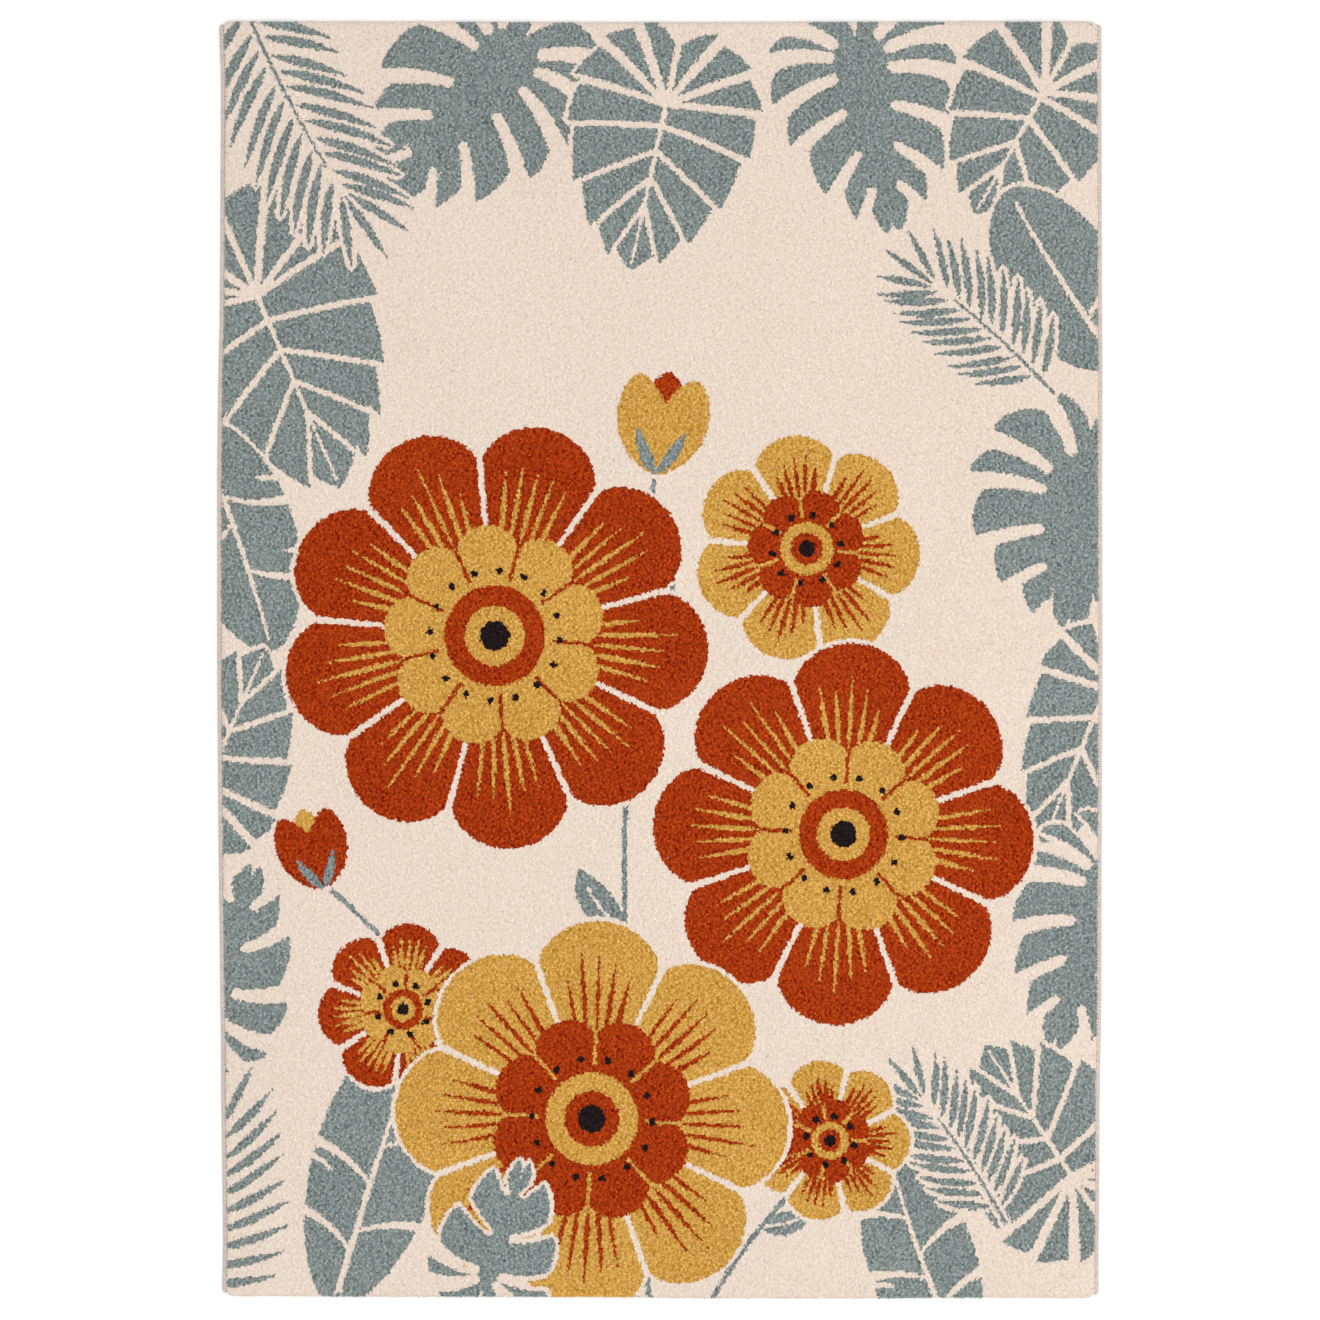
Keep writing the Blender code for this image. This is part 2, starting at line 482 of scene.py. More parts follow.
@dataclass
class BananaLeaf(Motif):
    """A long oval leaf with a pale rib, torn across in a few places.

    Each tear and each notch is given by its share of the rib and its side. Its lean is its angle off
    the rib and how far it turns, in degrees.
    """

    breadth: float = 0.08
    tears: tuple[tuple[float, int], ...] = (
        (0.16, LEFT), (0.24, RIGHT), (0.40, LEFT), (0.50, RIGHT), (0.70, LEFT),
    )
    notches: tuple[tuple[float, int], ...] = ((0.33, LEFT), (0.66, RIGHT))
    rib_half_widths: tuple[float, float] = (0.0044, 0.0020)
    tear_half_widths: tuple[float, float] = (0.0025, 0.0093)
    tear_lean: tuple[float, float] = (52.0, 42.0)
    notch_half_widths: tuple[float, float] = (0.0016, 0.0066)
    notch_lean: tuple[float, float] = (64.0, 24.0)
    stalk: tuple[float, float] = (-0.020, 0.006)
    stalk_half_widths: tuple[float, float] = (0.0040, 0.0030)
    bend: float = -8.0

    def draw(self, own: np.ndarray) -> np.ndarray:
        """Draws the blade, less its rib, its tears and its notches, and a short stalk.

        Args:
            own: The knots' places in the motif's own coordinates.

        Returns:
            Each knot's yarn, or AS_BEFORE where the motif leaves what is there.
        """
        steps = 32
        rib = bent_path((0.0, 0.0), -self.bend / 2, self.length, self.bend, steps)
        share = np.linspace(0.0, 1.0, steps + 1)
        covered = Stroke(rib, self.breadth * np.sin(math.pi * share**0.92) ** 0.60).covers(own)
        pale = Stroke(rib[:steps], np.linspace(*self.rib_half_widths, steps)).covers(own)
        thin, wide = self.tear_half_widths
        for at, side in self.tears:
            away, turn = side * np.array(self.tear_lean)
            path = bent_path(rib[int(at * steps)], away, 1.4 * self.breadth, turn, steps=10)
            pale |= Stroke(path, thin + (wide - thin) * np.linspace(0, 1, len(path)) ** 1.6).covers(own)
        for at, side in self.notches:
            away, turn = side * np.array(self.notch_lean)
            foot = rib[int(at * steps)] + np.array([0.35, 0.66 * side]) * self.breadth
            path = bent_path(foot, away, 0.6 * self.breadth, turn, steps=8)
            pale |= Stroke(path, np.linspace(*self.notch_half_widths, len(path))).covers(own)
        stalk = Stroke(np.array([(x, 0.0) for x in self.stalk]), np.array(self.stalk_half_widths))
        return np.where((covered & ~pale) | stalk.covers(own), Yarn.SAGE, AS_BEFORE)


@dataclass
class Blossom(Motif):
    """An open flower from its front: two rings of petals round a seeded heart.

    The radii of what lies inside the outer ring are shares of the flower's own. The rim's share is
    how far a ring draws in between its petals.
    """

    INNER_RING = 0.52
    OUTER_GAPS_FROM = 0.42
    INNER_GAPS_FROM = 0.27
    STREAKS_FROM = 0.44
    SEED_RING = 0.305
    HEART_RINGS = (0.235, 0.14, 0.07)

    petals: int = 8
    outer: Yarn = Yarn.RUST
    inner: Yarn = Yarn.MUSTARD
    seeds: int = 12
    seed_radius: float = 0.0042
    streaks: int = 5
    streak_half_width: float = 0.0030
    streak_uneven: float = 0.0006
    rim: float = 0.23
    outer_gap: float = 0.0034
    inner_gap: float = 0.0022

    def ring(self, own: np.ndarray, radius: float, turn: float) -> tuple[np.ndarray, np.ndarray]:
        """One ring of petals.

        Args:
            own: The knots' places in the motif's own coordinates.
            radius: The ring's outer radius.
            turn: How far it is turned, in degrees.

        Returns:
            Where it lies, and how far each point is from the next gap between petals.
        """
        reach = np.hypot(own[:, 0], own[:, 1])
        pitch = 360.0 / self.petals
        off = (bearing(own) + turn + pitch / 2) % pitch - pitch / 2
        rim = radius * (1.0 - self.rim + self.rim * np.cos(np.radians(180.0 / pitch * off)) ** 0.50)
        return reach < rim, np.radians(pitch / 2 - np.abs(off)) * reach

    def draw(self, own: np.ndarray) -> np.ndarray:
        """Draws the outer ring and its streaks, the inner ring, the heart and the seeds.

        Args:
            own: The knots' places in the motif's own coordinates.

        Returns:
            Each knot's yarn, or AS_BEFORE where the motif leaves what is there.
        """
        reach = np.hypot(own[:, 0], own[:, 1]) / self.length
        drawn = np.full(len(own), AS_BEFORE)
        petal, gap = self.ring(own, self.length, 0.0)
        parted = (gap < self.outer_gap * (0.4 + reach)) & (reach > self.OUTER_GAPS_FROM)
        drawn[petal] = self.outer
        drawn[petal & parted] = Yarn.IVORY
        jitter = self.chance(self.petals * self.streaks * 2).reshape(self.petals, self.streaks, 2)
        for k in range(self.petals):
            for s in range(self.streaks):
                spread = (s - (self.streaks - 1) / 2) / self.streaks
                outward = ray(360.0 / self.petals * (k + 0.70 * spread))
                far = 0.64 + 0.20 * (1 - 3.2 * spread**2) + 0.05 * jitter[k, s, 0]
                path = np.linspace(self.STREAKS_FROM, far, 8)[:, None] * self.length * outward
                wide = self.streak_half_width + self.streak_uneven * jitter[k, s, 1]
                drawn[lance(path, wide, fullest=0.35).covers(own) & petal] = self.inner
        petal, gap = self.ring(own, self.INNER_RING * self.length, 180.0 / self.petals)
        drawn[petal] = self.inner
        drawn[petal & (gap < self.inner_gap) & (reach > self.INNER_GAPS_FROM)] = self.outer
        drawn[reach < self.HEART_RINGS[0]] = self.outer
        for k in range(self.seeds):
            spot = self.SEED_RING * self.length * ray(360.0 * (k + 0.5) / self.seeds)
            drawn[np.hypot(*(own - spot).T) < self.seed_radius] = Yarn.BLACK
        drawn[reach < self.HEART_RINGS[1]] = self.inner
        drawn[reach < self.HEART_RINGS[2]] = Yarn.BLACK
        return drawn


@dataclass
class Bud(Motif):
    """A half-open flower from its side: a cup of petals over two slim sepals.

    Each part has a length and a half-width, as shares of the bud's length, and leans by a spread.
    """

    outer: Yarn = Yarn.RUST
    inner: Yarn = Yarn.MUSTARD
    petal: tuple[float, float] = (1.0, 0.25)
    petal_spread: float = 26.0
    front: tuple[float, float] = (0.72, 0.16)
    sepal: tuple[float, float] = (0.50, 0.060)
    sepal_spread: float = 38.0

    def draw(self, own: np.ndarray) -> np.ndarray:
        """Draws the petals from the rear one to the front one, then the sepals.

        Args:
            own: The knots' places in the motif's own coordinates.

        Returns:
            Each knot's yarn, or AS_BEFORE where the motif leaves what is there.
        """
        drawn = np.full(len(own), AS_BEFORE)
        size, wide = self.length * np.array(self.petal)
        for side, part in ((0, self.inner), (LEFT, self.outer), (RIGHT, self.outer)):
            spread = side * self.petal_spread
            path = bent_path((0.0, 0.0), spread, size, -0.75 * spread)
            drawn[lance(path, wide, fullest=0.52).covers(own)] = part
        size, wide = self.length * np.array(self.front)
        drawn[lance(bent_path((0.0, 0.0), 0.0, size, 0.0), wide).covers(own)] = self.outer
        size, wide = self.length * np.array(self.sepal)
        for side in (LEFT, RIGHT):
            spread = side * self.sepal_spread
            path = bent_path((0.0, 0.0), spread, size, -0.5 * spread)
            drawn[lance(path, wide).covers(own)] = Yarn.SAGE
        return drawn


@dataclass
class Stem(Motif):
    """A thin curving stem; each of its leaves has a place along it, a side and a length.

    A leaf's lean is its angle off the stem and how far it turns back, in degrees.
    """

    bend: float = 20.0
    half_width: float = 0.0030
    leaf_width: float = 0.21
    leaf_lean: tuple[float, float] = (50.0, 30.0)
    leaf_rib: tuple[float, float] = (0.0024, 0.0017)
    leaves: tuple[tuple[float, int, float], ...] = ()

    def draw(self, own: np.ndarray) -> np.ndarray:
        """Draws the leaves with their pale ribs, then the stem.

        Args:
            own: The knots' places in the motif's own coordinates.

        Returns:
            Each knot's yarn, or AS_BEFORE where the motif leaves what is there.
        """
        drawn = np.full(len(own), AS_BEFORE)
        steps = 40
        path = bent_path((0.0, 0.0), -self.bend / 2, self.length, self.bend, steps)
        ahead = bearing(np.diff(path, axis=0))
        for at, side, size in self.leaves:
            index = int(at * steps)
            away, turn = side * np.array(self.leaf_lean)
            blade = bent_path(path[index], ahead[index] + away, size, -turn)
            drawn[lance(blade, self.leaf_width * size).covers(own)] = Yarn.SAGE
            rib = blade[:11]
            drawn[Stroke(rib, np.linspace(*self.leaf_rib, len(rib))).covers(own)] = Yarn.IVORY
        drawn[Stroke(path, np.full(steps + 1, self.half_width)).covers(own)] = Yarn.SAGE
        return drawn


@dataclass
class Design:
    """The pattern: a border of leaves that reach in from the edges, and a bouquet inside it."""

    columns: int
    rows: int
    width: float
    length: float
    yarns: np.ndarray = field(init=False)
    points: np.ndarray = field(init=False)

    def __post_init__(self) -> None:
        """Lays out the knots, all in the ground's yarn."""
        across = ((np.arange(self.columns) + 0.5) / self.columns - 0.5) * self.width
        along = ((np.arange(self.rows) + 0.5) / self.rows - 0.5) * self.length
        self.points = np.stack([g.ravel() for g in np.meshgrid(across, along)], axis=1)
        self.yarns = np.full((self.rows, self.columns), int(Yarn.IVORY))

    @staticmethod
    def border() -> list[Motif]:
        """The leaves that reach in from the edges.

        Returns:
            The rear ones first, each from its base to its tip.
        """
        return [
            SplitLeaf((-0.196, 0.752), (-0.336, 0.588), breadth=0.134),
            VeinedLeaf((0.006, 0.697), (-0.037, 0.499), breadth=0.118),
            SplitLeaf((0.251, 0.749), (0.291, 0.544), breadth=0.116),
            VeinedLeaf((0.482, 0.712), (0.399, 0.566), breadth=0.106, cuts=6),
            VeinedLeaf((-0.508, 0.456), (-0.405, 0.226), breadth=0.140, lobe=1.0, sinus=0.92, wedge=0.006),
            PalmFrond((-0.524, 0.817), (-0.404, 0.590), leaflet=0.108, spacing=0.0225, half_width=0.0060),
            BananaLeaf(
                (-0.581, 0.286), (-0.488, 0.018), breadth=0.074,
                tears=((0.34, LEFT), (0.44, RIGHT), (0.66, LEFT)), notches=((0.20, LEFT), (0.56, LEFT)),
            ),
            VeinedLeaf((-0.571, -0.163), (-0.498, 0.006), breadth=0.095, cuts=6),
            SplitLeaf((-0.576, -0.439), (-0.511, -0.266), breadth=0.098, cuts=5),
            PalmFrond(
                (-0.584, -0.812), (-0.556, -0.592),
                leaflet=0.094, spacing=0.0215, opening=(80.0, 46.0),
            ),
            BananaLeaf((-0.410, -0.802), (-0.283, -0.428), breadth=0.080),
            BananaLeaf((0.566, 0.385), (0.443, 0.579), breadth=0.074, tears=((0.24, RIGHT),), notches=()),
            SplitLeaf(
                (0.530, 0.205), (0.512, 0.046), breadth=0.140,
                sweep=(158.0, 40.0), depth=0.64, lobe=0.95, sinus=0.80,
            ),
            PalmFrond(
                (0.494, 0.334), (0.350, 0.466),
                leaflet=0.086, spacing=0.0185, half_width=0.0050, bare=0.12,
            ),
            VeinedLeaf((0.562, -0.028), (0.484, -0.221), breadth=0.085, cuts=6),
            SplitLeaf((0.567, -0.281), (0.497, -0.479), breadth=0.112),
            VeinedLeaf((0.519, -0.646), (0.414, -0.491), breadth=0.118),
            BananaLeaf((0.376, -0.865), (0.289, -0.624), breadth=0.068),
            PalmFrond(
                (0.436, -0.706), (0.336, -0.556),
                leaflet=0.076, spacing=0.0175, half_width=0.0050, bare=0.10,
            ),
        ]

    @staticmethod
    def bouquet() -> list[Motif]:
        """The flowers in the middle.

        Returns:
            The stems, the buds and the blossoms, rear ones first, and a leaf before them.
        """
        return [
            Stem(
                (-0.012, -0.814), (-0.006, 0.238), bend=-16.0,
                leaves=((0.47, LEFT, 0.10), (0.83, RIGHT, 0.07)),
            ),
            Stem(
                (-0.024, -0.814), (-0.428, -0.276), bend=24.0,
                leaves=((0.50, LEFT, 0.09), (0.66, RIGHT, 0.085), (0.80, LEFT, 0.07)),
            ),
            Stem((0.058, -0.814), (0.236, -0.600), bend=-22.0, leaves=((0.46, RIGHT, 0.07),)),
            Bud((-0.006, 0.233), (0.011, 0.361), outer=Yarn.MUSTARD, inner=Yarn.RUST),
            Bud((-0.423, -0.288), (-0.450, -0.190)),
            Blossom(
                (0.184, 0.140), (0.164, 0.281),
                petals=7, outer=Yarn.MUSTARD, inner=Yarn.RUST, seeds=10,
            ),
            Blossom((-0.207, 0.030), (-0.137, 0.289), petals=9, seeds=16),
            Blossom((0.230, -0.218), (0.244, 0.021), petals=8, seeds=14),
            Blossom((-0.325, -0.439), (-0.313, -0.332), petals=7, seeds=8),
            Blossom(
                (0.214, -0.602), (0.193, -0.503),
                petals=7, outer=Yarn.MUSTARD, inner=Yarn.RUST, seeds=8,
            ),
            Blossom((-0.087, -0.576), (-0.075, -0.328), outer=Yarn.MUSTARD, inner=Yarn.RUST, seeds=14),
            SplitLeaf(
                (-0.218, -0.770), (-0.172, -0.632), breadth=0.078, cuts=4, slit=0.0086,
                depth=0.86, saw=0.14, rounding=0.20, sweep=(132.0, 40.0),
            ),
        ]

    def weave(self, motif: Motif) -> None:
        """Works a motif in, with a thin line of the ground round it where it crosses others.

        Args:
            motif: The motif.
        """
        drawn = motif.draw(motif.own(self.points)).reshape(self.rows, self.columns)
        worn = drawn != AS_BEFORE
        around = worn.copy()
        for _ in range(DRAWING_FINENESS * motif.halo):
            grown = around.copy()
            grown[1:] |= around[:-1]
            grown[:-1] |= around[1:]
            grown[:, 1:] |= around[:, :-1]
            grown[:, :-1] |= around[:, 1:]
            around = grown
        self.yarns[around] = Yarn.IVORY
        self.yarns[worn] = drawn[worn]

    def work(self) -> None:
        """Works the whole pattern."""
        for motif in self.border() + self.bouquet():
            self.weave(motif)

    def yarn_near(self, across: np.ndarray, along: np.ndarray) -> np.ndarray:
        """Looks up the pattern.

        Args:
            across: How far across the rug each place lies, from 0 to 1.
            along: How far along it, from 0 to 1.

        Returns:
            The yarn of the knot nearest to each place.
        """
        column = np.clip((across * self.columns).astype(int), 0, self.columns - 1)
        row = np.clip((along * self.rows).astype(int), 0, self.rows - 1)
        return self.yarns[row, column]


# ---------------------------------------------------------------------------------------------------
# Finishes


class Tree:
    """A node tree that is filled in step by step."""

    def __init__(self, tree: bpy.types.NodeTree) -> None:
        """Takes an empty tree."""
        self.tree = tree

    def add(
        self, kind: str, settings: dict[str, object] | None = None, **inputs: object
    ) -> bpy.types.Node:
        """Adds a node.

        Args:
            kind: The node's type, without the leading ShaderNode.
            settings: Values of the node's own properties.
            **inputs: Values or links for its inputs, by name with _ for a space, or i0, i1 by number.

        Returns:
            The node.
        """
        node = self.tree.nodes.new("ShaderNode" + kind)
        for name, value in (settings or {}).items():
            setattr(node, name, value)
        for name, value in inputs.items():
            by_number = name[0] == "i" and name[1:].isdigit()
            socket = node.inputs[int(name[1:]) if by_number else name.replace("_", " ")]
            if isinstance(value, bpy.types.NodeSocket):
                self.tree.links.new(value, socket)
            else:
                socket.default_value = value
        return node

    def math(self, operation: str, *values: object) -> bpy.types.NodeSocket:
        """The result of a Math node."""
        inputs = {f"i{k}": value for k, value in enumerate(values)}
        return self.add("Math", {"operation": operation}, **inputs).outputs[0]

    def mix(self, factor: object, a: object, b: object, blend: str = "MIX") -> bpy.types.NodeSocket:
        """The result of a colour mix."""
        node = self.add("Mix", {"data_type": "RGBA", "blend_type": blend}, i0=factor, i6=a, i7=b)
        return node.outputs[2]


def new_group(
    name: str, inputs: dict[str, str], outputs: dict[str, str]
) -> tuple[Tree, bpy.types.Node, bpy.types.Node]:
    """Makes a node group with named sockets.

    Args:
        name: The group's name.
        inputs: Each input's name and kind, Float or Color.
        outputs: Each output's name and kind.

    Returns:
        The group's tree, its input node and its output node.
    """
    group = bpy.data.node_groups.new(name, "ShaderNodeTree")
    for way, sockets in (("INPUT", inputs), ("OUTPUT", outputs)):
        for socket, kind in sockets.items():
            group.interface.new_socket(socket, in_out=way, socket_type="NodeSocket" + kind)
    enter = group.nodes.new("NodeGroupInput")
    leave = group.nodes.new("NodeGroupOutput")
    return Tree(group), enter, leave


class Effects:
    """The effects that the finishes share, each made once."""

    def __init__(self) -> None:
        """Makes the groups."""
        self.spun = self.spun_yarn()
        self.weave = self.plain_weave()

    @staticmethod
    def spun_yarn() -> bpy.types.NodeTree:
        """Heathered fibres: lighter and darker ones mixed in a yarn, and painted shade between the tufts,
        deepest at their bases.

        Returns:
            The group.
        """
        tree, enter, leave = new_group(
            "spun_yarn",
            {
                "Dark": "Color", "Light": "Color", "Tone": "Float", "Depth": "Float",
                "Heather": "Float", "Shade": "Float", "Fibre Scale": "Float",
            },
            {"Color": "Color", "Height": "Float"},
        )
        place = tree.add("TexCoord").outputs["Object"]
        into = enter.outputs
        fibre = tree.add(
            "TexNoise", Vector=place, Scale=into["Fibre Scale"], Detail=2.0, Roughness=0.6
        ).outputs[0]
        drift = tree.add("TexNoise", Vector=place, Scale=7.0, Detail=2.0, Roughness=0.5).outputs[0]
        grain = tree.math("MULTIPLY_ADD", fibre, 2.4, -1.2)
        spread = tree.math("ADD", grain, into["Tone"])
        spread = tree.math("MULTIPLY", spread, into["Heather"])
        spread = tree.math("ADD", spread, tree.math("MULTIPLY_ADD", drift, 0.24, 0.38))
        within = tree.math("MINIMUM", tree.math("MAXIMUM", spread, 0.0), 1.0)
        colour = tree.mix(within, into["Dark"], into["Light"])
        # Painted shade: the colour is darkened by the vertex's depth times Shade, in place of the pile's
        # own shade between the tufts.
        shade = tree.math("SUBTRACT", 1.0, tree.math("MULTIPLY", into["Depth"], into["Shade"]))
        grey = tree.add("CombineColor", i0=shade, i1=shade, i2=shade).outputs[0]
        shaded = tree.mix(1.0, colour, grey, "MULTIPLY")
        tree.tree.links.new(shaded, leave.inputs["Color"])
        tree.tree.links.new(fibre, leave.inputs["Height"])
        return tree.tree

    @staticmethod
    def plain_weave() -> bpy.types.NodeTree:
        """Coarse weft over warp, as on the back of a woven rug.

        Returns:
            The group.
        """
        tree, enter, leave = new_group(
            "plain_weave", {"Pitch": "Float"}, {"Mask": "Float", "Height": "Float"}
        )
        place = tree.add("TexCoord").outputs["Object"]
        axes = tree.add("SeparateXYZ", Vector=place).outputs
        turns = tree.math("DIVIDE", 2 * math.pi, enter.outputs["Pitch"])
        warp = tree.math("SINE", tree.math("MULTIPLY", axes[0], turns))
        weft = tree.math("SINE", tree.math("MULTIPLY", axes[1], turns))
        over = tree.math("MULTIPLY", warp, weft)
        mask = tree.math("MULTIPLY_ADD", over, 0.5, 0.5)
        rough = tree.add("TexNoise", Vector=place, Scale=700.0, Detail=2.0).outputs[0]
        height = tree.math("ADD", mask, tree.math("MULTIPLY", rough, 0.6))
        tree.tree.links.new(mask, leave.inputs["Mask"])
        tree.tree.links.new(height, leave.inputs["Height"])
        return tree.tree


def linear(red: float, green: float, blue: float) -> tuple[float, float, float, float]:
    """A display colour, each part from 0 to 255, as a scene colour."""
    parts = [c / 255 for c in (red, green, blue)]
    return (*[c / 12.92 if c <= 0.04045 else ((c + 0.055) / 1.055) ** 2.4 for c in parts], 1.0)


@dataclass(frozen=True)
class SpunYarn:
    """The finish of a spun yarn: heathered between a dark and a light colour."""

    name: str
    dark: tuple[float, float, float, float]
    light: tuple[float, float, float, float]
    heather: float = 0.5
    # shade: how strongly the painted shade darkens the tufts towards their bases
    shade: float = 0.5
    fibre_scale: float = 750.0
    roughness: float = 0.92
    sheen: float = 0.20
    relief: float = 0.35

    def material(self, effects: Effects) -> bpy.types.Material:
        """Makes the material.

        Args:
            effects: The shared effects.

        Returns:
            The material.
        """
        material = bpy.data.materials.new(self.name)
        material.use_nodes = True
        tree = Tree(material.node_tree)
        shader = material.node_tree.nodes["Principled BSDF"]
        shader.inputs["Roughness"].default_value = self.roughness
        shader.inputs["Sheen Weight"].default_value = self.sheen
        shader.inputs["Sheen Roughness"].default_value = 0.6
        shader.inputs["Sheen Tint"].default_value = self.light
        shader.inputs["Specular IOR Level"].default_value = 0.05
        # The tone attribute varies at random; the depth attribute weights the painted shade.
        tone = tree.add("Attribute", {"attribute_name": "tone"}).outputs["Fac"]
        depth = tree.add("Attribute", {"attribute_name": "depth"}).outputs["Fac"]
        group = tree.add(
            "Group", {"node_tree": effects.spun}, Dark=self.dark, Light=self.light, Tone=tone,
            Depth=depth, Heather=self.heather, Shade=self.shade, Fibre_Scale=self.fibre_scale,
        )
        bump = tree.add("Bump", Strength=self.relief, Distance=0.0006, Height=group.outputs["Height"])
        material.node_tree.links.new(group.outputs["Color"], shader.inputs["Base Color"])
        material.node_tree.links.new(bump.outputs[0], shader.inputs["Normal"])
        return material


@dataclass(frozen=True)
class WovenBacking:
    """The finish of the woven backing under the knots, and of the pile's dense foot above it."""

    name: str = "woven_backing"
    thread: tuple[float, float, float, float] = linear(196, 178, 150)
    gap: tuple[float, float, float, float] = linear(140, 122, 98)
    foot: tuple[float, float, float, float] = linear(214, 198, 184)
    thickness: float = 0.0010
    pitch: float = 0.0042
    roughness: float = 0.9

    def material(self, effects: Effects) -> bpy.types.Material:
        """Makes the material.

        Args:
            effects: The shared effects.

        Returns:
            The material.
        """
        material = bpy.data.materials.new(self.name)
        material.use_nodes = True
        tree = Tree(material.node_tree)
        shader = material.node_tree.nodes["Principled BSDF"]
        shader.inputs["Roughness"].default_value = self.roughness
        shader.inputs["Specular IOR Level"].default_value = 0.15
        group = tree.add("Group", {"node_tree": effects.weave}, Pitch=self.pitch)
        height = tree.add("SeparateXYZ", Vector=tree.add("TexCoord").outputs["Object"]).outputs[2]
        above = tree.math("GREATER_THAN", height, self.thickness)
        colour = tree.mix(above, tree.mix(group.outputs["Mask"], self.gap, self.thread), self.foot)
        bump = tree.add("Bump", Strength=0.6, Distance=0.0008, Height=group.outputs["Height"])
        material.node_tree.links.new(colour, shader.inputs["Base Color"])
        material.node_tree.links.new(bump.outputs[0], shader.inputs["Normal"])
        return material


class Finish(Enum):
    """The rug's finishes."""

    IVORY = SpunYarn("ivory_yarn", linear(210, 193, 178), linear(237, 223, 210), heather=0.30, shade=0.20)
    SAGE = SpunYarn("sage_yarn", linear(96, 107, 105), linear(167, 177, 175), heather=0.42)
    RUST = SpunYarn("rust_yarn", linear(123, 15, 0), linear(203, 79, 24), heather=0.40)
    MUSTARD = SpunYarn("mustard_yarn", linear(182, 126, 34), linear(240, 192, 104), heather=0.40)
    BLACK = SpunYarn("black_yarn", linear(14, 9, 10), linear(46, 34, 36), heather=0.40)
    OVERCAST = SpunYarn(
        "overcast_yarn", linear(187, 171, 165), linear(229, 217, 210), heather=0.3, shade=0.36
    )
    BACKING = WovenBacking()


# The bands of the rug into which a yarn's tufts are parted: a name's ending, and the y from which
# and up to which each goes.
YARN_BANDS = {
    Yarn.IVORY: [("_upper", 0.27, 1.0), ("_middle", -0.27, 0.27), ("_lower", -1.0, -0.27)],
    Yarn.SAGE: [("_upper", 0.0, 1.0), ("_lower", -1.0, 0.0)],
}
YARN_FINISH = {
    Yarn.IVORY: Finish.IVORY, Yarn.SAGE: Finish.SAGE, Yarn.RUST: Finish.RUST,
    Yarn.MUSTARD: Finish.MUSTARD, Yarn.BLACK: Finish.BLACK,
}


# ---------------------------------------------------------------------------------------------------
# Meshes


@dataclass
class Shell:
    """Triangles or quads with what their vertices carry, joined up before they become a mesh."""

    points: np.ndarray
    faces: np.ndarray
    tone: np.ndarray
    # depth: each vertex's share of painted shade, 0 at a tuft's tip, up to 1 at its base or in a groove
    depth: np.ndarray
    map_points: np.ndarray

    def __add__(self, other: "Shell") -> "Shell":
        """Joins two shells up.

        Args:
            other: The second one.

        Returns:
            Both, one after the other.
        """
        return Shell(
            np.vstack([self.points, other.points]),
            np.vstack([self.faces, other.faces + len(self.points)]),
            np.concatenate([self.tone, other.tone]),
            np.concatenate([self.depth, other.depth]),
            np.vstack([self.map_points, other.map_points]),
        )

    def part(self, chosen: np.ndarray) -> "Shell":
        """Takes a part out.

        Args:
            chosen: Whether each face belongs to it.

        Returns:
            Those faces, with the vertices that they use.
        """
        used, corners = np.unique(self.faces[chosen], return_inverse=True)
        return Shell(
            self.points[used], corners.reshape(-1, self.faces.shape[1]), self.tone[used], self.depth[used],
            self.map_points[used],
        )


def flat_map(points: np.ndarray, low: np.ndarray, high: np.ndarray) -> np.ndarray:
    """Places on the flat map, from 0 to 1, of points in the plane between two corners."""
    span = float((high - low).max()) + 2 * MAP_MARGIN
    return (points - (low + high) / 2) / span + 0.5


def make_piece(
    name: str, shell: Shell, finish: bpy.types.Material, smooth: bool = True
) -> bpy.types.Object:
    """Makes a mesh object of a shell, which rides on the rug.

    Args:
        name: The piece's name.
        shell: Its faces and what they carry.
        finish: Its material.
        smooth: Whether it is shaded smooth.

    Returns:
        The object.
    """
    mesh = bpy.data.meshes.new(name)
    count, corners = shell.faces.shape
    mesh.vertices.add(len(shell.points))
    mesh.vertices.foreach_set("co", shell.points.astype(np.float32).ravel())
    mesh.loops.add(count * corners)
    mesh.loops.foreach_set("vertex_index", shell.faces.astype(np.int32).ravel())
    mesh.polygons.add(count)
    mesh.polygons.foreach_set("loop_start", np.arange(0, count * corners, corners, dtype=np.int32))
    mesh.update(calc_edges=True)
    mesh.polygons.foreach_set("use_smooth", np.full(count, smooth))
    for name_of, values in (("tone", shell.tone), ("depth", shell.depth)):
        attribute = mesh.attributes.new(name_of, "FLOAT", "POINT")
        attribute.data.foreach_set("value", values.astype(np.float32))
    bake_map = mesh.uv_layers.new(name=MAP_NAME)
    places = shell.map_points
    if len(places) == len(shell.points):
        places = places[shell.faces.ravel()]
    bake_map.data.foreach_set("uv", places.astype(np.float32).ravel())
    mesh.materials.append(finish)
    mesh.validate()
    piece = bpy.data.objects.new(name, mesh)
    bpy.context.scene.collection.objects.link(piece)
    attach(piece, "root")
    LOG.info("%s: %d faces", name, len(mesh.polygons))
    return piece


# ---------------------------------------------------------------------------------------------------
# The rug


